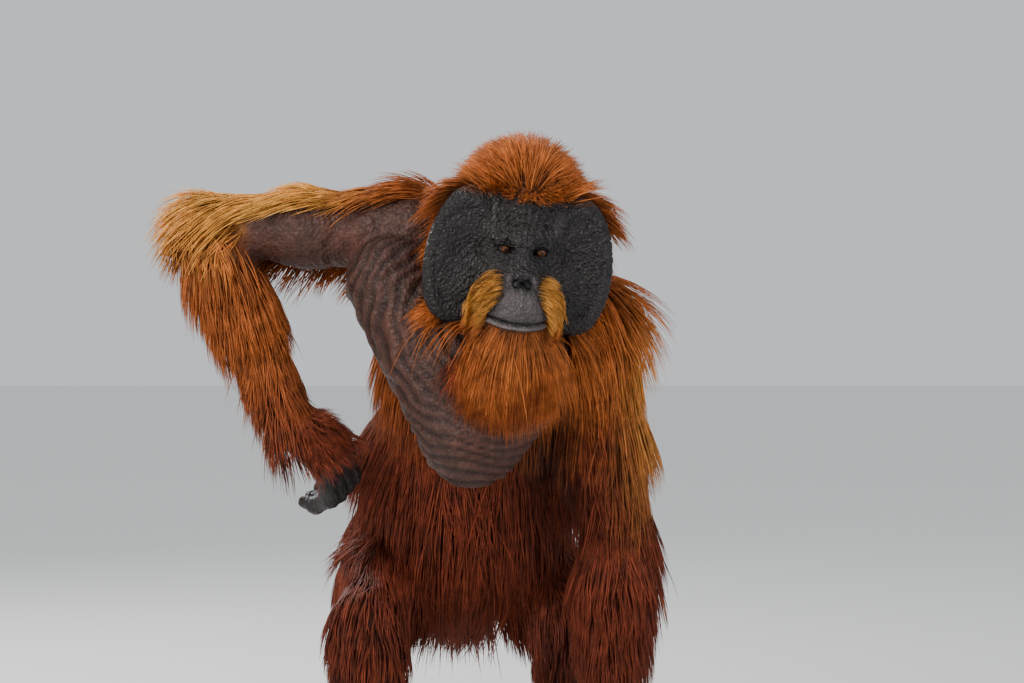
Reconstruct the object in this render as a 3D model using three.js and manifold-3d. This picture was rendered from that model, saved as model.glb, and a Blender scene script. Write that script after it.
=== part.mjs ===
// A flanged adult male orangutan, life size, standing on its feet, its left fist just over the floor and its
// right arm raised
// Millimetres, +Z up, the face looking along -Y, the animal's left side towards +X.
import * as THREE from "three";
import { mergeVertices } from "three/addons/utils/BufferGeometryUtils.js";
import Module from "manifold-3d";

const wasm = await Module();
wasm.setup();

// Driving sizes
const HUMERUS = 362;
const FOREARM = 372;
const FEMUR = 285;
const SHIN = 258;
const GAP = 0.4; // clear space between neighbouring pieces
const BIG = 500; // side of the boxes that cut a limb across
const COAT = 13; // how far the solid part of the coat stands off the flesh
const EYE_RADIUS = 12.5;
const EYE_SPREAD = 31.5; // from the middle of the face to an eye's centre
const FLOOR_CUT = 400;

const at = (x, y, z) => new THREE.Vector3(x, y, z);
const along = (from, way, length) => way.clone().normalize().multiplyScalar(length).add(from);
const between = (a, b, t) => a.clone().lerp(b, t);

// Joints of the skeleton, in the pose
const CHEST_TOP = at(-35, 80, 900);
const CHEST_LOW = at(-58, 160, 745);
const BELLY = at(-85, 262, 600);
const PELVIS = at(-108, 380, 468);

const SHOULDER_L = at(118, 62, 872);
const ELBOW_L = along(SHOULDER_L, at(0.16, 0.06, -1), HUMERUS);
const WRIST_L = along(ELBOW_L, at(-0.03, -0.15, -1), FOREARM);

const SHOULDER_R = at(-182, 74, 1026);
const ELBOW_R = along(SHOULDER_R, at(-1, 0.1, 0.03), HUMERUS);
const WRIST_R = along(ELBOW_R, at(0.39, -0.22, -0.895), FOREARM);

const HIP_L = at(-15, 405, 452);
const KNEE_L = along(HIP_L, at(0.4, -0.78, -0.48), FEMUR);
const ANKLE_L = along(KNEE_L, at(0.02, 0.5, -0.87), SHIN);

const HIP_R = at(-200, 362, 446);
const KNEE_R = along(HIP_R, at(-0.22, -0.9, -0.36), FEMUR);
const ANKLE_R = along(KNEE_R, at(0.02, 0.3, -0.95), SHIN);

// The head turns as one: +X of its own frame is the animal's left, +Y its crown, +Z the way it looks
const EYE_MIDDLE = at(8, -150, 1006);
const HEAD_ROLL = -7;
const HEAD_YAW = 9;
const HEAD_PITCH = 12;
const degrees = THREE.MathUtils.degToRad;
const HEAD_FRAME = new THREE.Matrix4()
  .makeTranslation(EYE_MIDDLE)
  .multiply(new THREE.Matrix4().makeRotationX(Math.PI / 2))
  .multiply(
    new THREE.Matrix4().makeRotationFromEuler(
      new THREE.Euler(degrees(HEAD_PITCH), degrees(HEAD_YAW), degrees(HEAD_ROLL), "ZYX"),
    ),
  );
const HEAD_TURN = new THREE.Quaternion().setFromRotationMatrix(HEAD_FRAME);
const inHead = (u, v, w) => at(u, v, w).applyMatrix4(HEAD_FRAME);

// Fields: each gives a distance that is negative inside the flesh
function bone(a, b, ra, rb) {
  const axis = b.clone().sub(a);
  const length2 = axis.lengthSq();
  const p = new THREE.Vector3();
  return (q) => {
    p.copy(q).sub(a);
    const t = THREE.MathUtils.clamp(p.dot(axis) / length2, 0, 1);
    return p.addScaledVector(axis, -t).length() - (ra + (rb - ra) * t);
  };
}

function lump(centre, radii, turn = new THREE.Quaternion()) {
  const back = turn.clone().invert();
  const least = Math.min(radii.x, radii.y, radii.z);
  const p = new THREE.Vector3();
  const k = new THREE.Vector3();
  return (q) => {
    p.copy(q).sub(centre).applyQuaternion(back);
    const k0 = k.copy(p).divide(radii).length();
    const k1 = k.divide(radii).length();
    return k0 < 0.05 ? -least : (k0 * (k0 - 1)) / k1;
  };
}

const headLump = (u, v, w, ru, rv, rw, turn = new THREE.Quaternion()) =>
  lump(inHead(u, v, w), at(ru, rv, rw), HEAD_TURN.clone().multiply(turn));

// Joins fields with a soft fillet of about the given width
function blend(width, ...fields) {
  return (q) =>
    fields.reduce((d, field) => {
      const e = field(q);
      const h = Math.max(width - Math.abs(d - e), 0) / width;
      return Math.min(d, e) - (h * h * width) / 4;
    }, Infinity);
}

function pressedIn(width, field, cutter) {
  return (q) => {
    const d = field(q);
    const e = -cutter(q);
    const h = Math.max(width - Math.abs(d - e), 0) / width;
    return Math.max(d, e) + (h * h * width) / 4;
  };
}

// The flesh of each region
const spineTurn = new THREE.Quaternion().setFromUnitVectors(
  at(0, 0, 1),
  CHEST_TOP.clone().sub(BELLY).normalize(),
);
const pelvisTurn = new THREE.Quaternion().setFromUnitVectors(
  at(0, 0, 1),
  BELLY.clone().sub(PELVIS).normalize(),
);
const torsoField = blend(
  70,
  lump(between(CHEST_TOP, CHEST_LOW, 0.55), at(182, 136, 185), spineTurn),
  lump(BELLY, at(186, 162, 185), spineTurn),
  lump(PELVIS, at(160, 124, 140), pelvisTurn),
  lump(at(-36, 130, 985), at(150, 94, 92)),
);

// Flesh with its coat over it
const coated = (field) => (q) => field(q) - COAT;

const armField = (shoulder, elbow) =>
  blend(
    40,
    bone(shoulder, between(shoulder, elbow, 0.14), 82, 68),
    bone(shoulder, elbow, 62, 50),
    lump(between(shoulder, elbow, 0.5), at(60, 60, 60)),
  );
const forearmField = (elbow, wrist) =>
  blend(
    40,
    bone(elbow, wrist, 50, 31),
    bone(between(elbow, wrist, 0.2), between(elbow, wrist, 0.42), 55, 48),
  );
const thighField = (hip, knee) =>
  blend(
    40,
    bone(hip, between(hip, knee, 0.15), 98, 84),
    bone(hip, knee, 80, 54),
    lump(between(hip, knee, 0.45), at(78, 78, 78)),
  );
const shinField = (knee, ankle) =>
  blend(40, bone(knee, ankle, 54, 34), bone(between(knee, ankle, 0.2), between(knee, ankle, 0.5), 56, 46));

const NECK_TOP = inHead(0, 20, -130);
const NECK_ROOT = at(-40, 96, 940);
const neckField = bone(NECK_TOP, NECK_ROOT, 86, 116);

const SAC_BOTTOM = at(-76, -92, 688);
const SAC_TOP = at(-216, -2, 945);
const sacField = blend(
  60,
  bone(SAC_BOTTOM, SAC_TOP, 90, 80),
  lump(at(2, -78, 790), at(84, 80, 105)),
  lump(at(-45, -20, 850), at(120, 80, 90)),
);

const headField = blend(
  24,
  headLump(0, 55, -98, 86, 82, 104),
  headLump(0, 100, -92, 58, 46, 74),
  headLump(0, 21, -30, 82, 18, 40),
  headLump(0, -4, -38, 84, 48, 42),
  headLump(0, -38, -12, 60, 40, 44),
  headLump(0, -22, 4, 13, 32, 20),
  headLump(0, -45, 36, 24, 15, 26),
  headLump(0, -78, 12, 62, 46, 64),
  headLump(0, -98, 32, 56, 32, 48),
  headLump(0, -132, 8, 60, 40, 62),
  headLump(0, -148, 26, 40, 32, 40),
);

// A rounded disc, the rim as thick as the plate
function pad(centre, width, height, rim, turn) {
  const back = turn.clone().invert();
  const flat = lump(at(0, 0, 0), at(width - rim, height - rim, BIG));
  const p = new THREE.Vector3();
  const level = new THREE.Vector3();
  return (q) => {
    p.copy(q).sub(centre).applyQuaternion(back);
    const out = Math.max(flat(level.set(p.x, p.y, 0)), 0);
    return Math.hypot(out, p.z) - rim;
  };
}

const FLANGE_WIDTH = 62;
const FLANGE_HEIGHT = 116;
const FLANGE_RIM = 21;
function flangeField(side) {
  const turn = HEAD_TURN.clone().multiply(
    new THREE.Quaternion().setFromEuler(
      new THREE.Euler(degrees(-4), degrees(side * -12), degrees(side * 5)),
    ),
  );
  return blend(
    30,
    pad(inHead(side * 100, -26, -24), FLANGE_WIDTH, FLANGE_HEIGHT, FLANGE_RIM, turn),
    headLump(side * 70, 42, -40, 44, 50, 30),
    headLump(side * 70, -78, -22, 44, 60, 34),
  );
}

// Walks from a point inside the flesh along a ray to its skin, grown outwards by the given amount
function skinAlong(field, from, way, grow, reach = 400) {
  const p = new THREE.Vector3();
  const f = (s) => field(p.copy(from).addScaledVector(way, s)) - grow;
  let inside = 0;
  let outside = 0;
  while (outside < reach && f(outside) < 0) {
    inside = outside;
    outside += Math.max(1.5, -0.7 * f(outside));
  }
  for (let i = 0; i < 22; i++) {
    const middle = (inside + outside) / 2;
    if (f(middle) < 0) inside = middle;
    else outside = middle;
  }
  return from.clone().addScaledVector(way, outside);
}

// A closed solid from a three.js geometry whose vertices have been moved by a function
function solid(geometry, move) {
  const g = geometry.clone();
  g.deleteAttribute("normal");
  g.deleteAttribute("uv");
  const merged = mergeVertices(g, 1e-4);
  const position = merged.attributes.position;
  for (let i = 0; i < position.count; i++) {
    const p = move(new THREE.Vector3().fromBufferAttribute(position, i));
    position.setXYZ(i, p.x, p.y, p.z);
  }
  const made = new wasm.Manifold(
    new wasm.Mesh({
      numProp: 3,
      vertProperties: position.array,
      triVerts: new Uint32Array(merged.index.array),
    }),
  );
  if (made.volume() > 0) return made;
  const flipped = new Uint32Array(merged.index.array);
  for (let i = 0; i < flipped.length; i += 3)
    [flipped[i + 1], flipped[i + 2]] = [flipped[i + 2], flipped[i + 1]];
  return new wasm.Manifold(
    new wasm.Mesh({ numProp: 3, vertProperties: position.array, triVerts: flipped }),
  );
}

// Flesh wrapped on a straight or bent spine: a capsule whose vertices are pushed out to the skin
function wrapped(field, points, around, rows, caps, grow = 0) {
  const spine = new THREE.CatmullRomCurve3(points);
  const shape = new THREE.CapsuleGeometry(1, 1, caps, around, rows);
  const overall = points[points.length - 1].clone().sub(points[0]).normalize();
  const side = at(0, -1, 0).addScaledVector(overall, overall.y);
  if (side.lengthSq() < 0.1) side.set(0, 0, 1).addScaledVector(overall, -overall.z);
  return solid(shape, (p) => {
    const t = THREE.MathUtils.clamp(p.y + 0.5, 0, 1);
    const tangent = spine.getTangent(t);
    const across = side.clone().cross(tangent).normalize();
    const front = tangent.clone().cross(across);
    const beyond = p.y - THREE.MathUtils.clamp(p.y, -0.5, 0.5);
    const way = across.multiplyScalar(p.x).addScaledVector(front, p.z).addScaledVector(tangent, beyond);
    return skinAlong(field, spine.getPoint(t), way.normalize(), grow);
  });
}

// Flesh wrapped on one point: a ball whose vertices are pushed out to the skin, its poles along the turn's Y
function balled(field, centre, turn, around, rows, grow = 0) {
  const shape = new THREE.SphereGeometry(1, around, rows);
  return solid(shape, (p) => skinAlong(field, centre, p.applyQuaternion(turn).normalize(), grow));
}

// A tapered tube through a few points: digits, lids and lips. Its section may be flattened.
function tapered(points, radii, around = 6, rows = 5, grow = 0, flat = 1, up = null) {
  const line = new THREE.CatmullRomCurve3(points);
  const shape = new THREE.CapsuleGeometry(1, 1, 1, around, rows);
  return solid(shape, (p) => {
    const t = THREE.MathUtils.clamp(p.y + 0.5, 0, 1);
    const spot = t * (radii.length - 1);
    const i = Math.min(Math.floor(spot), radii.length - 2);
    const radius = THREE.MathUtils.lerp(radii[i], radii[i + 1], spot - i) + grow;
    const tangent = line.getTangent(t);
    const normal = up ? up.clone() : at(0.31, -0.78, 0.54);
    const across = normal.cross(tangent).normalize();
    const front = tangent.clone().cross(across);
    const beyond = p.y - THREE.MathUtils.clamp(p.y, -0.5, 0.5);
    return line
      .getPoint(t)
      .addScaledVector(across, p.x * radius)
      .addScaledVector(front, p.z * radius * flat)
      .addScaledVector(tangent, beyond * radius);
  });
}

// A box that fills the space beyond a plane
function beyond(point, way, offset = 0, size = BIG) {
  const turn = new THREE.Quaternion().setFromUnitVectors(at(0, 0, 1), way.clone().normalize());
  const centre = along(point, way, offset + size / 2);
  return solid(new THREE.BoxGeometry(size, size, size), (p) => p.applyQuaternion(turn).add(centre));
}

const aboveFloor = (piece) => piece.subtract(beyond(at(0, 0, 0), at(0, 0, -1), 0, FLOOR_CUT * 3));

// The plane that halves the bend between two bones that meet at a joint
const mitre = (a, joint, b) =>
  b.clone().sub(joint).normalize().sub(a.clone().sub(joint).normalize()).normalize();

const largest = (piece) => {
  const found = piece.decompose().filter((s) => s.volume() > 0);
  return found.sort((a, b) => b.volume() - a.volume())[0];
};

// Hands and feet share one frame: reach points to the fingertips, back is the hairy side, row runs across
function limbEnd(root, reach, back) {
  const far = reach.clone().normalize();
  const row = back.clone().cross(far).normalize();
  const top = far.clone().cross(row);
  return {
    row,
    top,
    place: (r, f, b) =>
      root.clone().addScaledVector(row, r).addScaledVector(far, f).addScaledVector(top, b),
    turned: (bend) =>
      far.clone().multiplyScalar(Math.cos(degrees(bend))).addScaledVector(top, -Math.sin(degrees(bend))),
  };
}

// A finger, thumb or toe: each bone bends further towards the palm than the one before it
function digit(frame, base, bones, bends, radii, grow, fan = 0) {
  const points = [base];
  let bend = 0;
  for (const [i, bone] of bones.entries()) {
    bend += bends[i];
    const way = frame.turned(bend).addScaledVector(frame.row, fan);
    points.push(along(points[i], way, bone));
  }
  return tapered(points, radii, 5, 3, grow, 1, frame.row);
}

const HAND_BONE = 108; // wrist to knuckles
const HAND_WIDTH = 92;
const FINGER = [66, 46, 26];
const FINGER_RADII = [17, 16, 14, 11];
const THUMB = [34, 26, 20];
const THUMB_RADII = [14, 13, 11, 9];
const PALM_THICK = 23;

function hand(frame, bends, thumbSide, grow) {
  const palmField = blend(
    26,
    bone(frame.place(0, 0, 0), frame.place(0, HAND_BONE * 0.4, 0), 31, 26),
    bone(frame.place(-22, 40, 0), frame.place(-30, HAND_BONE, 0), PALM_THICK, PALM_THICK - 4),
    bone(frame.place(0, 40, 2), frame.place(0, HAND_BONE, 2), PALM_THICK, PALM_THICK - 3),
    bone(frame.place(22, 40, 0), frame.place(30, HAND_BONE, 0), PALM_THICK, PALM_THICK - 4),
  );
  let piece = wrapped(palmField, [frame.place(0, 10, 0), frame.place(0, HAND_BONE, 0)], 12, 3, 2, grow);
  for (let i = 0; i < 4; i++) {
    const spread = (i - 1.5) / 3;
    const size = 1 - 0.1 * Math.abs(spread * 2 + 0.2 * thumbSide);
    const base = frame.place(spread * (HAND_WIDTH - 30), HAND_BONE - 4, 0);
    const bones = FINGER.map((length) => length * size);
    piece = piece.add(digit(frame, base, bones, bends, FINGER_RADII, grow, spread * 0.08));
  }
  const thumb = frame.place(thumbSide * 32, HAND_BONE * 0.34, -12);
  return piece.add(digit(frame, thumb, THUMB, [18, 30, 30], THUMB_RADII, grow, thumbSide * 0.55));
}

const FOOT_BONE = 112; // heel to the roots of the toes
const TOE = [52, 40, 26];
const TOE_RADII = [15, 14, 13, 11];
const TOE_BENDS = [-8, 26, 26];
const HALLUX = [38, 28];
const HALLUX_RADII = [14, 13, 10];
const HEEL_BACK = 46; // the heel's reach behind the ankle

function foot(ankle, frame, inner, grow) {
  const heel = frame.place(0, -HEEL_BACK, 6);
  const ball = frame.place(0, FOOT_BONE - 10, -2);
  const soleField = blend(
    24,
    bone(heel, frame.place(0, 20, 6), 31, 30),
    bone(frame.place(-12, -10, 2), frame.place(-22, FOOT_BONE, -3), 26, 19),
    bone(frame.place(12, -10, 2), frame.place(22, FOOT_BONE, -3), 26, 19),
  );
  const shank = frame.place(0, -8, 12);
  const shankField = blend(20, bone(ankle, shank, 34, 34), bone(ankle, frame.place(0, -34, 12), 30, 30));
  let piece = wrapped(soleField, [heel, ball], 10, 3, 2, grow).add(
    wrapped(shankField, [ankle, shank], 8, 1, 1, grow),
  );
  for (let i = 0; i < 4; i++) {
    const spread = (i - 1.5) / 3;
    const size = 1 - 0.1 * Math.abs(spread * 2);
    const base = frame.place(spread * 60, FOOT_BONE - 8, -5);
    const bones = TOE.map((length) => length * size);
    piece = piece.add(digit(frame, base, bones, TOE_BENDS, TOE_RADII, grow, spread * 0.2));
  }
  const hallux = frame.place(inner * 26, 34, -4);
  return piece.add(digit(frame, hallux, HALLUX, [4, 14], HALLUX_RADII, grow, inner * 1.1));
}

const group = new THREE.Group();
const colours = {
  coat: [0x8a3a1c, 0.85],
  golden: [0xc8782a, 0.85],
  beard: [0xb85c22, 0.85],
  hide: [0x5b4247, 0.6],
  face: [0x2f2b2d, 0.55],
  eye: [0x3a2113, 0.15],
};

const axes = [0, 1, 2];
function meets(one, other) {
  const a = one.boundingBox();
  const b = other.boundingBox();
  return axes.every((i) => a.min[i] < b.max[i] && b.min[i] < a.max[i]);
}
const clear = (piece, other) => (meets(piece, other) ? piece.subtract(other) : piece);

const pieces = new Map();
// Keeps a piece cut clear of those before it, and its grown twin, which later pieces are cut clear of
function keep(name, colour, make, inside = "") {
  let piece = make(0);
  for (const [other, { grown }] of pieces) if (other !== inside) piece = clear(piece, grown);
  pieces.set(name, { piece: largest(piece), grown: make(GAP), colour });
}

const torsoPoints = [between(CHEST_TOP, CHEST_LOW, -0.1), CHEST_LOW, BELLY, between(PELVIS, BELLY, 0.1)];
const torso = (grow) => wrapped(coated(torsoField), torsoPoints, 18, 8, 3, grow);
const WAIST = between(CHEST_LOW, BELLY, 0.45);
const waistWay = BELLY.clone().sub(CHEST_LOW);
keep("chest", "coat", (grow) => torso(grow).subtract(beyond(WAIST, waistWay, grow, 800)));
keep("abdomen", "coat", (grow) =>
  torso(grow).subtract(beyond(WAIST, waistWay.clone().negate(), grow - GAP, 800)),
);

for (const [side, shoulder, elbow, wrist] of [
  ["left", SHOULDER_L, ELBOW_L, WRIST_L],
  ["right", SHOULDER_R, ELBOW_R, WRIST_R],
]) {
  const bend = mitre(shoulder, elbow, wrist);
  const atWrist = wrist.clone().sub(elbow);
  const upper = (grow) =>
    wrapped(coated(armField(shoulder, elbow)), [shoulder, elbow], 10, 4, 3, grow)
      .subtract(beyond(elbow, bend, grow));
  const lower = (grow) =>
    wrapped(coated(forearmField(elbow, wrist)), [elbow, wrist], 10, 4, 2, grow)
      .subtract(beyond(elbow, bend.clone().negate(), grow - 1.1 * GAP))
      .subtract(beyond(wrist, atWrist, grow));
  keep(`upper_arm_${side}`, "coat", upper);
  keep(`forearm_${side}`, "coat", lower);
}

const FIST = limbEnd(WRIST_L, at(0.02, -0.02, -1), at(0.25, -1, 0));
const HOOK = limbEnd(WRIST_R, at(0.75, -0.12, -0.65), at(0.5, -0.75, 0.45));
keep("hand_left", "face", (grow) => aboveFloor(hand(FIST, [88, 86, 80], -1, grow)));
keep("hand_right", "face", (grow) => hand(HOOK, [50, 58, 40], 1, grow));

for (const [side, hip, knee, ankle] of [
  ["left", HIP_L, KNEE_L, ANKLE_L],
  ["right", HIP_R, KNEE_R, ANKLE_R],
]) {
  const bend = mitre(hip, knee, ankle);
  const atAnkle = ankle.clone().sub(knee);
  const upper = (grow) =>
    wrapped(coated(thighField(hip, knee)), [hip, knee], 10, 4, 3, grow).subtract(beyond(knee, bend, grow));
  const lower = (grow) =>
    wrapped(coated(shinField(knee, ankle)), [knee, ankle], 10, 4, 2, grow)
      .subtract(beyond(knee, bend.clone().negate(), grow - 1.1 * GAP))
      .subtract(beyond(ankle, atAnkle, grow));
  keep(`thigh_${side}`, "coat", upper);
  keep(`shin_${side}`, "coat", lower);
}

const SOLE_HEIGHT = 22; // centre line of the foot above the floor
const FOOT_L = limbEnd(at(ANKLE_L.x, ANKLE_L.y, SOLE_HEIGHT), at(0.3, -1, 0), at(0, 0, 1));
const FOOT_R = limbEnd(at(ANKLE_R.x, ANKLE_R.y, SOLE_HEIGHT), at(-0.35, -1, 0), at(0, 0, 1));
keep("foot_left", "face", (grow) => aboveFloor(foot(ANKLE_L, FOOT_L, -1, grow)));
keep("foot_right", "face", (grow) => aboveFloor(foot(ANKLE_R, FOOT_R, 1, grow)));

// The head is parted from the jaw along the mouth, a sheet that dips a little in the middle
const MOUTH = -111;
const MOUTH_BACK = -66;
const mouthHeight = (u) => MOUTH + 0.0017 * u * u;
function underMouth(grow) {
  return solid(new THREE.BoxGeometry(1, 1, 1, 12, 1, 1), (p) => {
    const u = p.x * 300;
    const w = p.z > 0 ? 240 : MOUTH_BACK - grow;
    return inHead(u, p.y > 0 ? mouthHeight(u) + grow : -300, w);
  });
}

// A lip is a soft roll that follows the mouth on the muzzle's skin, its drop measured from the mouth
const LIP_REACH = 50;
const LIP_ROLL = 6.5;
const LIP_DROP = 5.5;
const LIP_STEPS = [-1, -0.6, -0.2, 0.2, 0.6, 1];
const MUZZLE_MIDDLE = inHead(0, -104, 0);
function lip(drop, grow) {
  const line = LIP_STEPS.map((t) => {
    const u = t * LIP_REACH;
    const way = inHead(u, mouthHeight(u) + drop, 60).sub(MUZZLE_MIDDLE).normalize();
    return skinAlong(headField, MUZZLE_MIDDLE, way, -1);
  });
  const rolls = line.slice(1).map((point, i) => bone(line[i], point, LIP_ROLL, LIP_ROLL));
  return wrapped(blend(4, ...rolls), line, 8, 10, 2, grow);
}

const eyeCentre = (side) => inHead(side * EYE_SPREAD, 0, -2);
const NOSTRIL_SPREAD = 10;
function face(grow) {
  let piece = balled(headField, inHead(0, -20, -46), HEAD_TURN, 28, 20, grow);
  for (const side of [-1, 1]) {
    const lids = headLump(side * EYE_SPREAD, 0, -2, EYE_RADIUS + 5, EYE_RADIUS + 4.5, EYE_RADIUS + 4);
    piece = piece.add(balled(lids, eyeCentre(side), HEAD_TURN, 10, 6, grow));
    piece = piece.add(lip(side * LIP_DROP, grow));
  }
  if (grow > 0) return piece;
  for (const side of [-1, 1]) {
    const eye = eyeCentre(side);
    const socket = headLump(side * EYE_SPREAD, 0, -2, EYE_RADIUS + GAP, EYE_RADIUS + GAP, EYE_RADIUS + GAP);
    const slit = headLump(side * EYE_SPREAD, -0.5, 14, 13, 5, 12);
    const nostril = headLump(side * NOSTRIL_SPREAD, -49, 58, 6.5, 4.5, 12);
    piece = piece
      .subtract(balled(socket, eye, HEAD_TURN, 10, 7))
      .subtract(balled(slit, inHead(side * EYE_SPREAD, -0.5, 14), HEAD_TURN, 8, 6))
      .subtract(balled(nostril, inHead(side * NOSTRIL_SPREAD, -49, 58), HEAD_TURN, 6, 4));
  }
  return piece;
}

keep("head", "face", (grow) => face(grow).subtract(underMouth(0)));
keep("jaw", "beard", (grow) => face(grow).intersect(underMouth(-GAP)));
for (const side of [-1, 1]) {
  keep(
    `eye_${side > 0 ? "left" : "right"}`,
    "eye",
    (grow) => {
      const r = EYE_RADIUS + grow;
      return balled(headLump(side * EYE_SPREAD, 0, -2, r, r, r), eyeCentre(side), HEAD_TURN, 10, 7);
    },
    "head",
  );
}
for (const [side, sign] of [["left", 1], ["right", -1]]) {
  keep(
    `cheek_flange_${side}`,
    "face",
    (grow) => balled(flangeField(sign), inHead(sign * 96, -26, -28), HEAD_TURN, 16, 8, grow),
  );
}

const EAR = at(9, 21, 14);
function ear(sign, grow) {
  const centre = inHead(sign * 98, 6, -82);
  const turn = HEAD_TURN.clone().multiply(
    new THREE.Quaternion().setFromEuler(new THREE.Euler(0, degrees(sign * -28), degrees(sign * -8))),
  );
  const shell = lump(centre, EAR, turn);
  const whole = balled(shell, centre, HEAD_TURN, 10, 6, grow);
  const opening = centre.clone().add(at(sign * 7, 0, 0).applyQuaternion(turn));
  const cup = lump(opening, at(7, 14, 9), turn);
  if (grow > 0) return whole;
  return whole.subtract(balled(cup, opening, HEAD_TURN, 8, 5));
}
for (const [side, sign] of [["left", 1], ["right", -1]])
  keep(`ear_${side}`, "face", (grow) => ear(sign, grow));

keep("neck", "coat", (grow) => wrapped(coated(neckField), [NECK_TOP, NECK_ROOT], 12, 2, 2, grow));

keep("throat_sac", "hide", (grow) => wrapped(sacField, [SAC_BOTTOM, SAC_TOP], 14, 4, 3, grow));

// The coat's locks: flat, tapered, rooted in the flesh, and bent along the body with the tips standing off
const fleshOf = (...fields) => blend(14, ...fields);
const body = fleshOf(
  torsoField,
  neckField,
  sacField,
  headField,
  armField(SHOULDER_L, ELBOW_L),
  armField(SHOULDER_R, ELBOW_R),
  forearmField(ELBOW_L, WRIST_L),
  forearmField(ELBOW_R, WRIST_R),
  thighField(HIP_L, KNEE_L),
  thighField(HIP_R, KNEE_R),
  shinField(KNEE_L, ANKLE_L),
  shinField(KNEE_R, ANKLE_R),
  flangeField(1),
  flangeField(-1),
);

function outwards(q) {
  const step = 2;
  const slope = (x, y, z) => body(at(q.x + x, q.y + y, q.z + z)) - body(at(q.x - x, q.y - y, q.z - z));
  return at(slope(step, 0, 0), slope(0, step, 0), slope(0, 0, step)).normalize();
}

const ROOT_HEIGHT = 2; // where a lock starts, over the flesh and well inside the coat's solid part
const STEPS = 12;
const HANG = 0.14; // pull of its weight on a lock, for each step
const CLEAR_OF_FLOOR = 14;
const LOCK_SHAPE = [0.75, 1, 0.78, 0.02];

// The line of a lock: it creeps along the body, rising to its tip, and hangs where it leaves the body
function lockLine(root, lie, length, rise) {
  const p = root.clone().addScaledVector(outwards(root), ROOT_HEIGHT);
  const way = lie.clone().normalize();
  const line = [p.clone()];
  for (let i = 1; i <= STEPS; i++) {
    way.z -= HANG;
    const out = outwards(p);
    const into = way.dot(out);
    if (into < 0) way.addScaledVector(out, -into);
    way.normalize();
    p.addScaledVector(way, length / STEPS);
    const height = ROOT_HEIGHT + (rise - ROOT_HEIGHT) * Math.sin((i / STEPS) * Math.PI * 0.5);
    const lack = height - body(p);
    if (lack > 0) p.addScaledVector(outwards(p), lack);
    p.z = Math.max(p.z, CLEAR_OF_FLOOR);
    line.push(p.clone());
  }
  return line;
}

function lock(root, lie, length, width, thick, rise, grow) {
  const line = new THREE.CatmullRomCurve3(lockLine(root, lie, length, rise));
  const shape = new THREE.ConeGeometry(1, 1, 3, 3);
  return solid(shape, (p) => {
    const t = p.y + 0.5;
    const size = LOCK_SHAPE[Math.round(t * 3)];
    const radius = Math.hypot(p.x, p.z);
    const spot = line.getPoint(t);
    const tangent = line.getTangent(t);
    const out = outwards(spot);
    const across = tangent.clone().cross(out).normalize();
    const up = across.clone().cross(tangent);
    const unit = radius > 1e-6 ? 1 / radius : 0;
    const sideways = p.x * unit * (width * 0.58 * size + 2 * grow);
    const raised = p.z * unit * (thick * size + 2 * grow);
    const end = t > 0.99 ? 3 * grow : t < 0.01 ? -grow : 0;
    return spot.addScaledVector(across, sideways).addScaledVector(up, raised).addScaledVector(tangent, end);
  });
}

let seed = 20;
function chance() {
  seed = (seed * 1103515245 + 12345) % 2147483648;
  return seed / 2147483648;
}

// Roots in staggered rings around a spine. dress gives a lock's lie and sizes, or nothing on bare skin.
function rings(field, points, rows, around, dress) {
  const spine = new THREE.CatmullRomCurve3(points);
  const found = [];
  for (let row = 0; row < rows; row++)
    for (let i = 0; i < around; i++) {
      const t = (row + 0.3 + 0.3 * chance()) / rows;
      const tangent = spine.getTangent(t);
      const side = at(1, 0, 0).addScaledVector(tangent, -tangent.x);
      if (side.lengthSq() < 0.2) side.set(0, 1, 0).addScaledVector(tangent, -tangent.y);
      const turn = ((i + (row % 2) * 0.5 + 0.25 * chance()) / around) * 2 * Math.PI;
      const way = side.normalize().applyAxisAngle(tangent, turn);
      const root = skinAlong(field, spine.getPoint(t), way, 0);
      if (body(root) < -10) continue;
      const style = dress(root, tangent, outwards(root));
      if (style) found.push({ root, ...style });
    }
  return found;
}

const DOWN = at(0, 0, -1);
const lieAlong = (tangent, hang) => tangent.clone().lerp(DOWN, hang);
const trunkStyle = (root, tangent) =>
  sacField(root) > 30 && { lie: lieAlong(tangent, 0.35), length: 230, width: 112, thick: 16, rise: 40 };
const armStyle = (root, tangent) => ({ lie: lieAlong(tangent, 0.3), length: 170, width: 74, thick: 14, rise: 38 });
const legStyle = (root, tangent) => ({ lie: lieAlong(tangent, 0.3), length: 150, width: 84, thick: 14, rise: 34 });
const shinStyle = (root, tangent) => ({ lie: lieAlong(tangent, 0.1), length: 120, width: 70, thick: 12, rise: 30 });
const BARE_UNDER_ARM = at(0, -0.75, -0.65);
const raisedArmStyle = (root, tangent, out) =>
  out.dot(BARE_UNDER_ARM) < 0.25 && {
    lie: tangent.clone().add(at(0, 0.25, 0)),
    length: 180,
    width: 78,
    thick: 14,
    rise: 30,
  };
const neckStyle = (root, tangent, out) =>
  out.dot(inHead(0, 0, 1).sub(inHead(0, 0, 0))) < 0.5 &&
  sacField(root) > 25 && { lie: lieAlong(tangent, 0.4), length: 180, width: 90, thick: 15, rise: 36 };

const crown = [];
for (let row = 0; row < 3; row++)
  for (let i = 0; i < 3 + row; i++) {
    const count = 3 + row;
    const turn = ((i + 0.5) / count - 0.5) * (row === 0 ? 1.5 : 2.2);
    const high = [1.15, 0.75, 0.25][row];
    const way = inHead(Math.sin(turn * 1.25) * Math.cos(high), Math.sin(high), -0.15 - 0.5 * row * Math.cos(turn))
      .sub(inHead(0, 0, 0))
      .normalize();
    const root = skinAlong(headField, inHead(0, 60, -98), way, 0);
    const flow = inHead(Math.sin(turn * 1.25) * 1.1, -0.5 + 0.3 * (2 - row), -0.7).sub(inHead(0, 0, 0));
    crown.push({ root, lie: flow, length: 110, width: 84, thick: 13, rise: 28 });
  }

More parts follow.
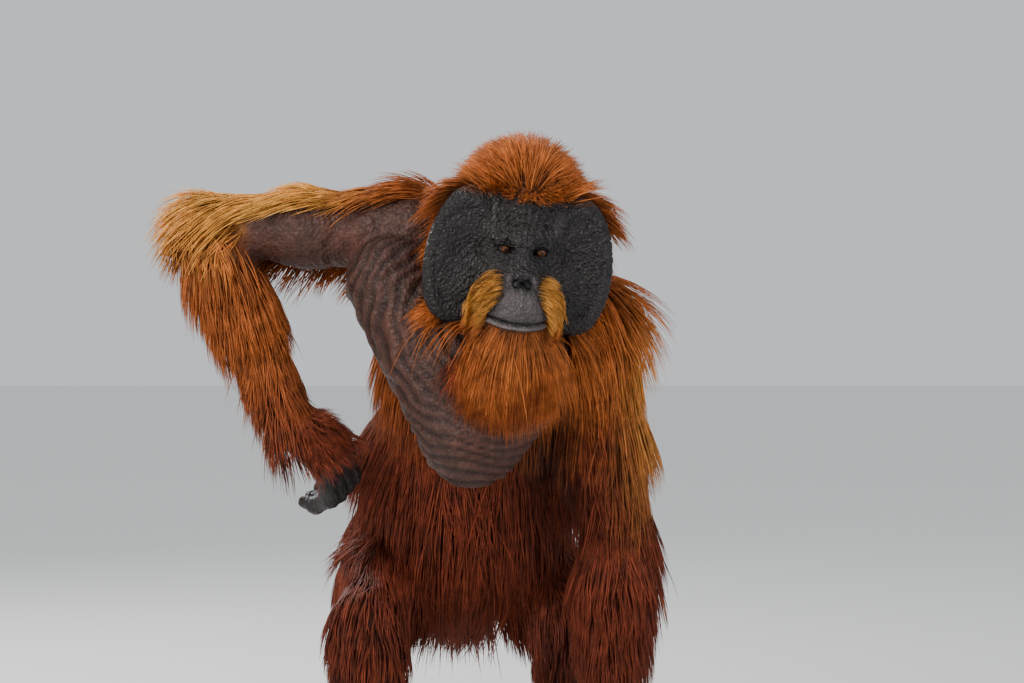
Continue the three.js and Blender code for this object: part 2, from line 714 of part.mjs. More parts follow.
const beard = [];
for (let row = 0; row < 3; row++)
  for (let i = 0; i < 4; i++) {
    const u = (i - 1.5 + 0.2 * (chance() - 0.5)) * (24 + row * 4);
    const way = inHead(u * 1.3, -24 - row * 40, 62 - row * 30).sub(inHead(0, 0, 0)).normalize();
    const root = skinAlong(headField, inHead(0, -128, 10), way, 0);
    beard.push({ root, lie: at(u / 140, -0.1, -1), length: 118 - row * 8, width: 44, thick: 12, rise: 20 });
  }

const coatOf = {
  chest: rings(torsoField, [between(CHEST_TOP, CHEST_LOW, -0.35), CHEST_LOW, WAIST], 3, 6, trunkStyle),
  abdomen: rings(torsoField, [WAIST, BELLY, between(PELVIS, BELLY, -0.3)], 3, 6, trunkStyle),
  neck: rings(neckField, [NECK_TOP, NECK_ROOT], 2, 6, neckStyle),
  upper_arm_left: rings(armField(SHOULDER_L, ELBOW_L), [SHOULDER_L, ELBOW_L], 3, 4, armStyle),
  upper_arm_right: rings(armField(SHOULDER_R, ELBOW_R), [SHOULDER_R, ELBOW_R], 3, 5, raisedArmStyle),
  forearm_left: rings(forearmField(ELBOW_L, WRIST_L), [ELBOW_L, WRIST_L], 3, 4, armStyle),
  forearm_right: rings(forearmField(ELBOW_R, WRIST_R), [ELBOW_R, WRIST_R], 3, 4, armStyle),
  thigh_left: rings(thighField(HIP_L, KNEE_L), [HIP_L, KNEE_L], 2, 5, legStyle),
  thigh_right: rings(thighField(HIP_R, KNEE_R), [HIP_R, KNEE_R], 2, 5, legStyle),
  shin_left: rings(shinField(KNEE_L, ANKLE_L), [KNEE_L, ANKLE_L], 2, 4, shinStyle),
  shin_right: rings(shinField(KNEE_R, ANKLE_R), [KNEE_R, ANKLE_R], 2, 4, shinStyle),
  head: crown,
  jaw: beard,
};

// Fuses each node's locks, cut clear of every other node and of the locks before them
const earlier = [];
for (const [name, styles] of Object.entries(coatOf)) {
  const fused = (grow) =>
    styles
      .map(({ root, lie, length, width, thick, rise }) => lock(root, lie, length, width, thick, rise, grow))
      .reduce((all, one) => all.add(one));
  let locks = fused(0);
  for (const other of earlier) locks = clear(locks, other);
  for (const [other, { piece, grown }] of pieces)
    if (other !== name) locks = clear(clear(locks, piece), grown);
  earlier.push(fused(2 * GAP));
  const node = pieces.get(name);
  node.piece = largest(node.piece.add(locks));
}

for (const [name, { piece, colour }] of pieces) {
  const { vertProperties, triVerts } = piece.getMesh();
  const geometry = new THREE.BufferGeometry()
    .setAttribute("position", new THREE.BufferAttribute(vertProperties, 3))
    .setIndex(new THREE.BufferAttribute(triVerts, 1));
  const [color, roughness] = colours[colour];
  const mesh = new THREE.Mesh(geometry, new THREE.MeshStandardMaterial({ color, roughness, metalness: 0 }));
  mesh.name = name;
  group.add(mesh);
}

// The origin sits on the floor under the middle of the whole animal
const bounds = new THREE.Box3().setFromObject(group);
const middle = bounds.getCenter(at(0, 0, 0));
group.position.set(-middle.x, -middle.y, -bounds.min.z);

export default group;
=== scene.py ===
# %% [markdown]
# # An orangutan, life size
# A grown flanged male crouches on its feet, its left arm down to a fist close over the floor and its right
# arm raised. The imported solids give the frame. Everything drawn here is flesh, eyes, nails and hair, set in
# that same frame, in metres.

# %% Open the frame
import math

import bmesh
import bpy
import numpy as np
from mathutils import Matrix, Vector
from mathutils.kdtree import KDTree


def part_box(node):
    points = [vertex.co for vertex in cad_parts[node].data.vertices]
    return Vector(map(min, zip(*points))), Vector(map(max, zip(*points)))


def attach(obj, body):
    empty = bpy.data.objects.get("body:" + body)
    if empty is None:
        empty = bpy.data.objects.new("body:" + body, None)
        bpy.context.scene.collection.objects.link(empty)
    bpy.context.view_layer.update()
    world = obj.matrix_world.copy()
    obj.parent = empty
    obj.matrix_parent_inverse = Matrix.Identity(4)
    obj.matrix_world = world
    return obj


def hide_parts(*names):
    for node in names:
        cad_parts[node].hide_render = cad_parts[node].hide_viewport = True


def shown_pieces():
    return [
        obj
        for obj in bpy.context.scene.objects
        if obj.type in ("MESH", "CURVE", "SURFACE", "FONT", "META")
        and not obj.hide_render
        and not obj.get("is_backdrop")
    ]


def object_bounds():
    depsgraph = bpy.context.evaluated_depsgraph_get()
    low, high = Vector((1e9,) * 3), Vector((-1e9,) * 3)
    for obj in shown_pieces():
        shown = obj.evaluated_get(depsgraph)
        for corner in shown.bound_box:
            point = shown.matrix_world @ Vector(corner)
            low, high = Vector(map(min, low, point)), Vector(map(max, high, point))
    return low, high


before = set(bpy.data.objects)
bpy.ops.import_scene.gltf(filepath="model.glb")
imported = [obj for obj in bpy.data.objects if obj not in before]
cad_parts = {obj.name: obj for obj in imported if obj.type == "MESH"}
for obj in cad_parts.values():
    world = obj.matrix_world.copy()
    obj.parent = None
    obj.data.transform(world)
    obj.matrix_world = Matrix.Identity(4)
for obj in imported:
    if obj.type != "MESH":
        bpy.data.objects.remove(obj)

cad_low, cad_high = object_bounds()
print("solids stand", round(cad_high[2] - cad_low[2], 3), "m high")

# %% [markdown]
# ## The skeleton
# An animal is laid out from its joints. The same joints and radii as in the solids are named here in
# millimetres, so that skin and hair lie exactly where the solids are. One shift, measured on the left eye,
# takes them to the frame.

# %% Joints
HUMERUS, FOREARM, FEMUR, SHIN = 362.0, 372.0, 285.0, 258.0


def at(x, y, z):
    return np.array([x, y, z], float)


def unit(v):
    return v / np.linalg.norm(v)


def along(start, way, length):
    return start + unit(way) * length


def between(a, b, t):
    return a + (b - a) * t


CHEST_TOP, CHEST_LOW = at(-35, 80, 900), at(-58, 160, 745)
BELLY, PELVIS = at(-85, 262, 600), at(-108, 380, 468)
SHOULDER_L = at(118, 62, 872)
ELBOW_L = along(SHOULDER_L, at(0.16, 0.06, -1), HUMERUS)
WRIST_L = along(ELBOW_L, at(-0.03, -0.15, -1), FOREARM)
SHOULDER_R = at(-182, 74, 1026)
ELBOW_R = along(SHOULDER_R, at(-1, 0.1, 0.03), HUMERUS)
WRIST_R = along(ELBOW_R, at(0.39, -0.22, -0.895), FOREARM)
HIP_L = at(-15, 405, 452)
KNEE_L = along(HIP_L, at(0.4, -0.78, -0.48), FEMUR)
ANKLE_L = along(KNEE_L, at(0.02, 0.5, -0.87), SHIN)
HIP_R = at(-200, 362, 446)
KNEE_R = along(HIP_R, at(-0.22, -0.9, -0.36), FEMUR)
ANKLE_R = along(KNEE_R, at(0.02, 0.3, -0.95), SHIN)
print("joints laid out")

# %% [markdown]
# The head turns and tilts on its own. With u to the animal's left, v up and w forward, the face can be laid
# out as on a straight head and turned afterwards, which is easier to measure than a tilted one.

# %% The head's own axes
EYE_MIDDLE = at(8, -150, 1006)
HEAD_PITCH, HEAD_YAW, HEAD_ROLL = (math.radians(a) for a in (12, 9, -7))
HEAD = np.array(
    Matrix.Rotation(math.pi / 2, 3, "X")
    @ Matrix.Rotation(HEAD_ROLL, 3, "Z")
    @ Matrix.Rotation(HEAD_YAW, 3, "Y")
    @ Matrix.Rotation(HEAD_PITCH, 3, "X")
)
EYE_RADIUS, EYE_SPREAD, EYE_DEPTH = 12.5, 31.5, -2.0


def in_head(u, v, w):
    return EYE_MIDDLE + HEAD @ at(u, v, w)


def head_places(points):
    return (points - EYE_MIDDLE) @ HEAD


eye_low, eye_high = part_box("eye_left")
SHIFT = (np.array(eye_low) + np.array(eye_high)) / 2 - in_head(EYE_SPREAD, 0, EYE_DEPTH) / 1000
print("shift to the frame", SHIFT.round(4))


def to_frame(points):
    return points / 1000 + SHIFT


def from_frame(points):
    return (points - SHIFT) * 1000


# %% [markdown]
# ## Flesh as distance fields
# Muscle and fat are soft, rounded masses that run into one another. A distance field says how far a point is
# from such a mass, and two fields join with a fillet when their minimum is smoothed. The other way, pushing
# single vertices, gives lumps and creases. So a few named masses carry the form, and the mesh follows them.

# %% Fields
def bone(p, a, b, ra, rb):
    axis = b - a
    t = np.clip((p - a) @ axis / (axis @ axis), 0, 1)
    return np.linalg.norm(p - a - t[:, None] * axis, axis=1) - (ra + (rb - ra) * t)


def lump(p, centre, radii, turn=np.eye(3)):
    q = (p - centre) @ turn
    k0 = np.linalg.norm(q / radii, axis=1)
    k1 = np.linalg.norm(q / np.square(radii), axis=1) + 1e-9
    return np.where(k0 < 0.05, -min(radii), k0 * (k0 - 1) / k1)


def blend(width, *distances):
    total = distances[0]
    for d in distances[1:]:
        h = np.maximum(width - np.abs(total - d), 0) / width
        total = np.minimum(total, d) - h * h * width / 4
    return total


def turn_to(way):
    return np.array(Vector((0, 0, 1)).rotation_difference(Vector(unit(way))).to_matrix())


print("fields ready")

# %% [markdown]
# ## Trunk, limbs and throat sac
# A flanged male is barrel-chested and pot-bellied, with arms longer than its legs. The throat sac hangs from
# the jaw and is drawn up here to the raised shoulder, so its bare skin runs on into the arm.

# %% Trunk and limbs
SPINE_TURN = turn_to(CHEST_TOP - BELLY)
PELVIS_TURN = turn_to(BELLY - PELVIS)
NECK_TOP, NECK_ROOT = in_head(0, 20, -130), at(-40, 96, 940)
SAC_BOTTOM, SAC_TOP = at(-76, -92, 688), at(-216, -2, 945)


def torso_field(p):
    return blend(
        70,
        lump(p, between(CHEST_TOP, CHEST_LOW, 0.55), at(182, 136, 185), SPINE_TURN),
        lump(p, BELLY, at(186, 162, 185), SPINE_TURN),
        lump(p, PELVIS, at(160, 124, 140), PELVIS_TURN),
        lump(p, at(-36, 130, 985), at(150, 94, 92)),
    )


def upper_arm_field(p, shoulder, elbow):
    return blend(
        40,
        bone(p, shoulder, between(shoulder, elbow, 0.14), 82, 68),
        bone(p, shoulder, elbow, 62, 50),
        lump(p, between(shoulder, elbow, 0.5), at(60, 60, 60)),
    )


def forearm_field(p, elbow, wrist):
    thick = bone(p, between(elbow, wrist, 0.2), between(elbow, wrist, 0.42), 55, 48)
    return blend(40, bone(p, elbow, wrist, 50, 31), thick)


def thigh_field(p, hip, knee):
    return blend(
        40,
        bone(p, hip, between(hip, knee, 0.15), 98, 84),
        bone(p, hip, knee, 80, 54),
        lump(p, between(hip, knee, 0.45), at(78, 78, 78)),
    )


def shin_field(p, knee, ankle):
    calf = bone(p, between(knee, ankle, 0.2), between(knee, ankle, 0.5), 56, 46)
    return blend(40, bone(p, knee, ankle, 54, 34), calf)


def neck_field(p):
    return bone(p, NECK_TOP, NECK_ROOT, 86, 116)


def sac_field(p):
    return blend(
        60,
        bone(p, SAC_BOTTOM, SAC_TOP, 90, 80),
        lump(p, at(2, -78, 790), at(84, 80, 105)),
        lump(p, at(-45, -20, 850), at(120, 80, 90)),
    )


print("trunk, limbs and sac ready")

# %% [markdown]
# ## Hands and feet
# Hands and feet share one plan: a palm or sole of bones side by side, and digits whose bones bend further one
# after the other. The left hand is a fist that ends close over the floor, the right hand hooks loosely,
# and the feet stand flat with long curled toes.

# %% Digits as chains of bones
HAND_BONE, HAND_WIDTH = 108.0, 92.0
FINGER, FINGER_RADII = (66.0, 46.0, 26.0), (17.0, 16.0, 14.0, 11.0)
THUMB, THUMB_RADII = (34.0, 26.0, 20.0), (14.0, 13.0, 11.0, 9.0)
FOOT_BONE, HEEL_BACK, SOLE_HEIGHT = 112.0, 46.0, 22.0
TOE, TOE_RADII, TOE_BENDS = (52.0, 40.0, 26.0), (15.0, 14.0, 13.0, 11.0), (-8, 26, 26)
HALLUX, HALLUX_RADII = (38.0, 28.0), (14.0, 13.0, 10.0)


class LimbEnd:
    def __init__(self, root, reach, back):
        self.root = root
        self.far = unit(reach)
        self.row = unit(np.cross(back, self.far))
        self.top = np.cross(self.far, self.row)

    def place(self, r, f, b):
        return self.root + self.row * r + self.far * f + self.top * b

    def turned(self, bend):
        angle = math.radians(bend)
        return self.far * math.cos(angle) - self.top * math.sin(angle)


def chain(end, base, bones, bends, radii, fan=0.0):
    points, bend = [base], 0
    for length, more in zip(bones, bends):
        bend += more
        points.append(along(points[-1], end.turned(bend) + end.row * fan, length))
    return list(zip(points, points[1:], radii, radii[1:]))


def hand_chains(end, bends, thumb_side):
    found = []
    for i in range(4):
        spread = (i - 1.5) / 3
        size = 1 - 0.1 * abs(spread * 2 + 0.2 * thumb_side)
        base = end.place(spread * (HAND_WIDTH - 30), HAND_BONE - 4, 0)
        found.append(chain(end, base, [b * size for b in FINGER], bends, FINGER_RADII, spread * 0.08))
    thumb = end.place(thumb_side * 32, HAND_BONE * 0.34, -12)
    found.append(chain(end, thumb, THUMB, (18, 30, 30), THUMB_RADII, thumb_side * 0.55))
    return found


def foot_chains(end, inner):
    found = []
    for i in range(4):
        spread = (i - 1.5) / 3
        size = 1 - 0.1 * abs(spread * 2)
        base = end.place(spread * 60, FOOT_BONE - 8, -5)
        found.append(chain(end, base, [b * size for b in TOE], TOE_BENDS, TOE_RADII, spread * 0.2))
    found.append(chain(end, end.place(inner * 26, 34, -4), HALLUX, (4, 14), HALLUX_RADII, inner * 1.1))
    return found


FIST = LimbEnd(WRIST_L, at(0.02, -0.02, -1), at(0.25, -1, 0))
HOOK = LimbEnd(WRIST_R, at(0.75, -0.12, -0.65), at(0.5, -0.75, 0.45))
FOOT_L = LimbEnd(at(ANKLE_L[0], ANKLE_L[1], SOLE_HEIGHT), at(0.3, -1, 0), at(0, 0, 1))
FOOT_R = LimbEnd(at(ANKLE_R[0], ANKLE_R[1], SOLE_HEIGHT), at(-0.35, -1, 0), at(0, 0, 1))
FIST_CHAINS = hand_chains(FIST, (88, 86, 80), -1)
HOOK_CHAINS = hand_chains(HOOK, (50, 58, 40), 1)
TOE_CHAINS_L = foot_chains(FOOT_L, -1)
TOE_CHAINS_R = foot_chains(FOOT_R, 1)
print("digits", len(FIST_CHAINS) + len(HOOK_CHAINS) + len(TOE_CHAINS_L) + len(TOE_CHAINS_R))


# %% [markdown]
# A palm or sole is a row of long bones in one pad of flesh. Digits join it with small fillets, so that the
# knuckles stay distinct. The fields of hands and feet are asked only for points near them, to save time.

# %% Palms and soles
def digits_field(p, chains, knuckle=1.0):
    fingers = []
    for links in chains:
        parts = [bone(p, a, b, ra, rb) for a, b, ra, rb in links]
        parts += [np.linalg.norm(p - a, axis=1) - ra - knuckle for a, b, ra, rb in links[1:]]
        fingers.append(blend(6, *parts))
    return blend(4, *fingers)


def nearby(p, end, field, reach=260.0):
    far_off = np.linalg.norm(p - end.place(0, 80, 0), axis=1)
    near = far_off < reach
    found = far_off - 190
    if near.any():
        found[near] = field(p[near])
    return found


def hand_field(p, end, chains):
    palm = blend(
        26,
        bone(p, end.place(0, 0, 0), end.place(0, HAND_BONE * 0.4, 0), 31, 26),
        bone(p, end.place(-22, 40, 0), end.place(-30, HAND_BONE, 0), 23, 19),
        bone(p, end.place(0, 40, 2), end.place(0, HAND_BONE, 2), 23, 20),
        bone(p, end.place(22, 40, 0), end.place(30, HAND_BONE, 0), 23, 19),
    )
    return blend(10, palm, digits_field(p, chains))


def foot_field(p, end, ankle, chains):
    heel = end.place(0, -HEEL_BACK, 6)
    sole = blend(
        24,
        bone(p, heel, end.place(0, 20, 6), 31, 30),
        bone(p, end.place(-12, -10, 2), end.place(-22, FOOT_BONE, -3), 26, 19),
        bone(p, end.place(12, -10, 2), end.place(22, FOOT_BONE, -3), 26, 19),
        bone(p, ankle, end.place(0, -8, 12), 34, 34),
        bone(p, ankle, end.place(0, -34, 12), 30, 30),
    )
    return blend(10, sole, digits_field(p, chains))


PARTS = {
    "trunk": torso_field,
    "neck": neck_field,
    "sac": sac_field,
    "upper_arm_left": lambda p: upper_arm_field(p, SHOULDER_L, ELBOW_L),
    "upper_arm_right": lambda p: upper_arm_field(p, SHOULDER_R, ELBOW_R),
    "forearm_left": lambda p: forearm_field(p, ELBOW_L, WRIST_L),
    "forearm_right": lambda p: forearm_field(p, ELBOW_R, WRIST_R),
    "thigh_left": lambda p: thigh_field(p, HIP_L, KNEE_L),
    "thigh_right": lambda p: thigh_field(p, HIP_R, KNEE_R),
    "shin_left": lambda p: shin_field(p, KNEE_L, ANKLE_L),
    "shin_right": lambda p: shin_field(p, KNEE_R, ANKLE_R),
    "hand_left": lambda p: nearby(p, FIST, lambda q: hand_field(q, FIST, FIST_CHAINS)),
    "hand_right": lambda p: nearby(p, HOOK, lambda q: hand_field(q, HOOK, HOOK_CHAINS)),
    "foot_left": lambda p: nearby(p, FOOT_L, lambda q: foot_field(q, FOOT_L, ANKLE_L, TOE_CHAINS_L)),
    "foot_right": lambda p: nearby(p, FOOT_R, lambda q: foot_field(q, FOOT_R, ANKLE_R, TOE_CHAINS_R)),
}
PART_NAMES = list(PARTS)


def body_field(p):
    d = {name: field(p) for name, field in PARTS.items()}
    thick = ("trunk", "neck", "upper_arm_left", "upper_arm_right", "thigh_left", "thigh_right")
    core = blend(34, *(d[name] for name in thick))
    core = blend(16, core, d["forearm_left"], d["forearm_right"], d["shin_left"], d["shin_right"], d["sac"])
    return blend(12, core, d["hand_left"], d["hand_right"], d["foot_left"], d["foot_right"])


print("parts of the body", len(PARTS))

# %% [markdown]
# ## The head
# The skull is high and narrow, the muzzle juts, and a thick pad of fat stands out from each cheek. The pads,
# or flanges, turn forward at their rims, so the face reads as one wide disc.


# %% Head masses
def head_lump(p, u, v, w, ru, rv, rw, turn=np.eye(3)):
    return lump(p, in_head(u, v, w), at(ru, rv, rw), HEAD @ turn)


def head_core(p):
    return blend(
        24,
        head_lump(p, 0, 55, -98, 86, 82, 104),
        head_lump(p, 0, 100, -92, 58, 46, 74),
        head_lump(p, 0, 21, -30, 82, 18, 40),
        head_lump(p, 0, -4, -38, 84, 48, 42),
        head_lump(p, 0, -38, -12, 60, 40, 44),
        head_lump(p, 0, -22, 4, 13, 32, 20),
        head_lump(p, 0, -45, 36, 24, 15, 26),
        head_lump(p, 0, -78, 12, 62, 46, 64),
        head_lump(p, 0, -98, 32, 56, 32, 48),
        head_lump(p, 0, -132, 8, 60, 40, 62),
        head_lump(p, 0, -148, 26, 40, 32, 40),
    )


FLANGE_WIDTH, FLANGE_HEIGHT, FLANGE_RIM = 62.0, 116.0, 21.0


def flange_turn(side):
    turn = Matrix.Rotation(math.radians(-4), 3, "X") @ Matrix.Rotation(math.radians(side * -12), 3, "Y")
    return np.array(turn @ Matrix.Rotation(math.radians(side * 5), 3, "Z"))


def flange_field(p, side):
    q = (p - in_head(side * 100, -26, -24)) @ (HEAD @ flange_turn(side))
    level = q * (1, 1, 0)
    inner = at(FLANGE_WIDTH - FLANGE_RIM, FLANGE_HEIGHT - FLANGE_RIM, 500)
    out = np.maximum(lump(level, np.zeros(3), inner), 0)
    pad = np.hypot(out, q[:, 2]) - FLANGE_RIM
    return blend(
        30,
        pad,
        head_lump(p, side * 70, 42, -40, 44, 50, 30),
        head_lump(p, side * 70, -78, -22, 44, 60, 34),
    )


def head_field(p):
    return blend(20, head_core(p), flange_field(p, 1), flange_field(p, -1))


def whole_field(p):
    return np.minimum(body_field(p), head_field(p))


def outwards(field, p, step=2.0):
    here = field(p)
    slope = np.stack([field(p + step * e) - here for e in np.eye(3)], 1)
    return slope / (np.linalg.norm(slope, axis=1)[:, None] + 1e-9)


print("head ready")

# %% [markdown]
# ## Skin
# The skin starts as spheres and rods laid on the masses, which a voxel remesh welds into one closed mesh of
# even faces. Each vertex is then walked along the field to the true surface. Metaballs would do this too, but
# they give no control of the fillets.


# %% Rough masses from operators
def ball_mass(bm, centre, radii, turn=np.eye(3)):
    place = Matrix.Translation(to_frame(centre)) @ Matrix(turn.tolist()).to_4x4()
    size = Matrix.Diagonal((*(np.asarray(radii) / 1000), 1))
    bmesh.ops.create_icosphere(bm, subdivisions=3, radius=1, matrix=place @ size)


def rod_mass(bm, a, b, ra, rb, steps=6):
    for i in range(steps + 1):
        ball_mass(bm, between(a, b, i / steps), np.full(3, ra + (rb - ra) * i / steps))


BODY_VOXEL, HEAD_VOXEL = 0.0062, 0.0022


def placed(name, mesh):
    piece = bpy.data.objects.new(name, mesh)
    bpy.context.scene.collection.objects.link(piece)
    return piece


def finished(name, bm):
    mesh = bpy.data.meshes.new(name)
    bm.to_mesh(mesh)
    bm.free()
    return placed(name, mesh)


def welded(name, bm, voxel):
    piece = finished(name, bm)
    remesh = piece.modifiers.new("weld", "REMESH")
    remesh.mode = "VOXEL"
    remesh.voxel_size = voxel
    graph = bpy.context.evaluated_depsgraph_get()
    done = bpy.data.meshes.new_from_object(piece.evaluated_get(graph))
    piece.modifiers.clear()
    piece.data = done
    return piece


def vertices(piece):
    found = np.empty(len(piece.data.vertices) * 3, np.float32)
    piece.data.vertices.foreach_get("co", found)
    return found.reshape(-1, 3).astype(float)


def set_vertices(piece, places):
    piece.data.vertices.foreach_set("co", places.astype(np.float32).ravel())
    piece.data.update()


def neighbour_mean(piece, values):
    edges = np.empty(len(piece.data.edges) * 2, np.int32)
    piece.data.edges.foreach_get("vertices", edges)
    a, b = edges.reshape(-1, 2).T
    total, count = np.zeros_like(values), np.zeros(len(values))
    np.add.at(total, a, values[b])
    np.add.at(total, b, values[a])
    np.add.at(count, a, 1)
    np.add.at(count, b, 1)
    return (total.T / count).T


def fit(piece, field, rounds=6):
    p = from_frame(vertices(piece))
    for turn in range(rounds):
        p = p - field(p)[:, None] * outwards(field, p, 1.5)
        if turn < rounds - 2:
            p += 0.5 * (neighbour_mean(piece, p) - p)
    set_vertices(piece, to_frame(p))
    return p


print("skin tools ready")

# %% [markdown]
# Spheres and rods from operators stand where the masses are, the remesh makes one closed skin of them, and
# the walk along the field finishes the form. The soles stay flat on the floor.

# %% Body skin
body_bm = bmesh.new()
ball_mass(body_bm, between(CHEST_TOP, CHEST_LOW, 0.55), at(182, 136, 185), SPINE_TURN)
ball_mass(body_bm, BELLY, at(186, 162, 185), SPINE_TURN)
ball_mass(body_bm, PELVIS, at(160, 124, 140), PELVIS_TURN)
ball_mass(body_bm, at(-36, 130, 985), at(150, 94, 92))
rod_mass(body_bm, NECK_TOP, NECK_ROOT, 86, 116)
rod_mass(body_bm, SAC_BOTTOM, SAC_TOP, 90, 80)
ball_mass(body_bm, at(2, -78, 790), at(84, 80, 105))
ball_mass(body_bm, at(-45, -20, 850), at(120, 80, 90))
for start, end, thick, thin in (
    (SHOULDER_L, ELBOW_L, 72, 52), (SHOULDER_R, ELBOW_R, 72, 52),
    (ELBOW_L, WRIST_L, 52, 31), (ELBOW_R, WRIST_R, 52, 31),
    (HIP_L, KNEE_L, 90, 55), (HIP_R, KNEE_R, 90, 55),
    (KNEE_L, ANKLE_L, 55, 34), (KNEE_R, ANKLE_R, 55, 34),
):
    rod_mass(body_bm, start, end, thick, thin)
for end, chains in ((FIST, FIST_CHAINS), (HOOK, HOOK_CHAINS)):
    for r in (-24, 0, 24):
        rod_mass(body_bm, end.place(r * 0.4, 4, 0), end.place(r * 1.2, HAND_BONE, 0), 24, 19, 8)
    for links in chains:
        for a, b, ra, rb in links:
            rod_mass(body_bm, a, b, ra, rb, 5)
for end, ankle, chains in ((FOOT_L, ANKLE_L, TOE_CHAINS_L), (FOOT_R, ANKLE_R, TOE_CHAINS_R)):
    rod_mass(body_bm, ankle, end.place(0, -20, 10), 33, 31, 4)
    for r in (-14, 14):
        rod_mass(body_bm, end.place(r, -HEEL_BACK, 4), end.place(r * 1.6, FOOT_BONE, -3), 27, 19, 8)
    for links in chains:
        for a, b, ra, rb in links:
            rod_mass(body_bm, a, b, ra, rb, 5)
body = welded("body_skin", body_bm, BODY_VOXEL)
BODY_POINTS = fit(body, body_field, 4)
BODY_POINTS[:, 2] = np.maximum(BODY_POINTS[:, 2], 0)
set_vertices(body, to_frame(BODY_POINTS))
print("body skin", len(body.data.polygons), "faces")

# %% [markdown]
# The head has its own skin, because the face needs faces a third of the size of the body's.

# %% Head skin
head_bm = bmesh.new()
for u, v, w, ru, rv, rw in (
    (0, 55, -98, 86, 82, 104), (0, 100, -92, 58, 46, 74), (0, -4, -38, 84, 48, 42),
    (0, -38, -12, 60, 40, 44), (0, -78, 12, 62, 46, 64), (0, -132, 8, 60, 40, 62),
):
    ball_mass(head_bm, in_head(u, v, w), at(ru, rv, rw), HEAD)
for side in (1, -1):
    ball_mass(head_bm, in_head(side * 100, -26, -24), at(60, 112, 22), HEAD @ flange_turn(side))
    ball_mass(head_bm, in_head(side * 70, 42, -40), at(44, 50, 30), HEAD)
    ball_mass(head_bm, in_head(side * 70, -78, -22), at(44, 60, 34), HEAD)
    ball_mass(head_bm, in_head(side * 98, 6, -82), at(12, 21, 14), HEAD)
head = welded("head_skin", head_bm, HEAD_VOXEL)
print("rough head", len(head.data.polygons), "faces")

# %% [markdown]
# ## The face
# Lids, nostrils and ears are openings in the skin, so they are cut into the field. Wrinkles are folds of the
# same skin, so they are vertex moves: rings under the eyes, lines across the forehead, pebbled ridges on the
# flanges, the crease beside the muzzle, and the two lips along the mouth.


# %% Openings
def carved(d, opening, width=4):
    return -blend(width, -d, opening)


def face_field(p):
    d = head_field(p)
    for side in (1, -1):
        d = blend(7, d, head_lump(p, side * EYE_SPREAD, 0, EYE_DEPTH, 17.5, 16.5, 16.5))
        d = blend(12, d, head_lump(p, side * 26, 17, 8, 26, 8, 14))
        d = blend(4, d, head_lump(p, side * 13, -42, 52, 9.5, 8, 11))
        d = blend(6, d, head_lump(p, side * 98, 6, -82, 9, 21, 14))
    d = blend(4, d, head_lump(p, 0, -48, 57, 4.0, 9, 8))
    d = blend(10, d, head_lump(p, 0, -70, 44, 32, 20, 26))
    for side in (1, -1):
        d = carved(d, head_lump(p, side * EYE_SPREAD, -0.5, 14, 14.5, 6.2, 15), 3)
        d = carved(d, head_lump(p, side * 10, -47, 62, 6.4, 5.0, 14), 2)
        d = carved(d, head_lump(p, side * 105, 6, -82, 7, 14, 9))
    return d


fit(head, face_field, 7)
print("face cut")


# %% [markdown]
# On the real face the folds follow the muscles. Each is a ripple or a groove in the head's own axes, shown
# only where its mask allows: lips and their lines, rings round the eyes, forehead, muzzle crease, flange and
# its rim.

# %% Wrinkles and lips
def window(x, low, high, soft):
    rise = np.clip((x - low) / soft, 0, 1)
    return rise * np.clip((high - x) / soft, 0, 1)


def ripple(x, wave):
    return np.sin(2 * math.pi * x / wave)


def bell(x, width):
    return np.exp(-np.square(x / width))


def waver(p, wave):
    a = ripple(p[:, 0] + 0.6 * p[:, 2], wave) + ripple(p[:, 1] - 0.7 * p[:, 0], wave * 1.3)
    return a + ripple(p[:, 2] + 0.5 * p[:, 1], wave * 0.8)


def fold_distance(u, v, a, b):
    run, rise = b[0] - a[0], b[1] - a[1]
    t = np.clip(((u - a[0]) * run + (v - a[1]) * rise) / (run * run + rise * rise), 0, 1)
    return np.hypot(u - a[0] - t * run, v - a[1] - t * rise)


HEAD_POINTS = from_frame(vertices(head))
HEAD_OUT = outwards(head_field, HEAD_POINTS, 3)
H = head_places(HEAD_POINTS)
facing = np.clip((HEAD_OUT @ HEAD)[:, 2] * 2, 0, 1)
wander = waver(H, 61)
u, v, w = H.T
away = np.abs(u)
MOUTH = -111 + 0.0017 * u * u
lip = v - MOUTH
front = facing * (away < 64) * np.clip((64 - away) / 10, 0, 1)
move = front * (-8 * bell(lip, 2.2) + 3.0 * bell(lip - 7, 5) + 5.0 * bell(lip + 7, 5.0))
move += front * window(lip, 6, 34, 8) * 0.5 * ripple(u + wander, 5.5)
eye_ring = np.hypot((away - EYE_SPREAD) / 1.3, v * np.where(v > 0, 1.25, 0.95))
move += facing * window(eye_ring, 16, 46, 7) * 1.3 * ripple(eye_ring + wander * 0.5, 7.5)
brow = facing * window(v, 22, 96, 10) * np.clip((58 - away) / 18, 0, 1)
move += brow * 1.5 * ripple(v + 0.02 * u * u + wander * 1.5, 15) + brow * 1.3 * ripple(u + wander * 2, 13)
MUZZLE_CREASE = ((19, -40), (33, -66)), ((33, -66), (57, -100)), ((57, -100), (60, -128))
NOSE_CREASE = ((12, -18), (24, -30))
for a, b in (*MUZZLE_CREASE, NOSE_CREASE):
    move -= facing * 3.0 * bell(fold_distance(away, v, a, b), 3.2)
on_flange = facing * np.clip((away - 58) / 14, 0, 1)
pebbles = ripple(u + 4 * ripple(v, 37) + wander, 8.5) * ripple(v + 4 * ripple(u, 29) + wander, 9)
move += on_flange * (1.5 * pebbles + 0.5 * ripple(v * 0.8 + away * 0.6 + wander * 3, 12))
rim = np.hypot((away - 100) / 62, (v + 26) / 116)
move += on_flange * (4.0 * bell(rim - 0.90, 0.10) - 2.5 * bell(rim - 0.70, 0.10))
HEAD_POINTS = HEAD_POINTS + HEAD_OUT * move[:, None]
set_vertices(head, to_frame(HEAD_POINTS))
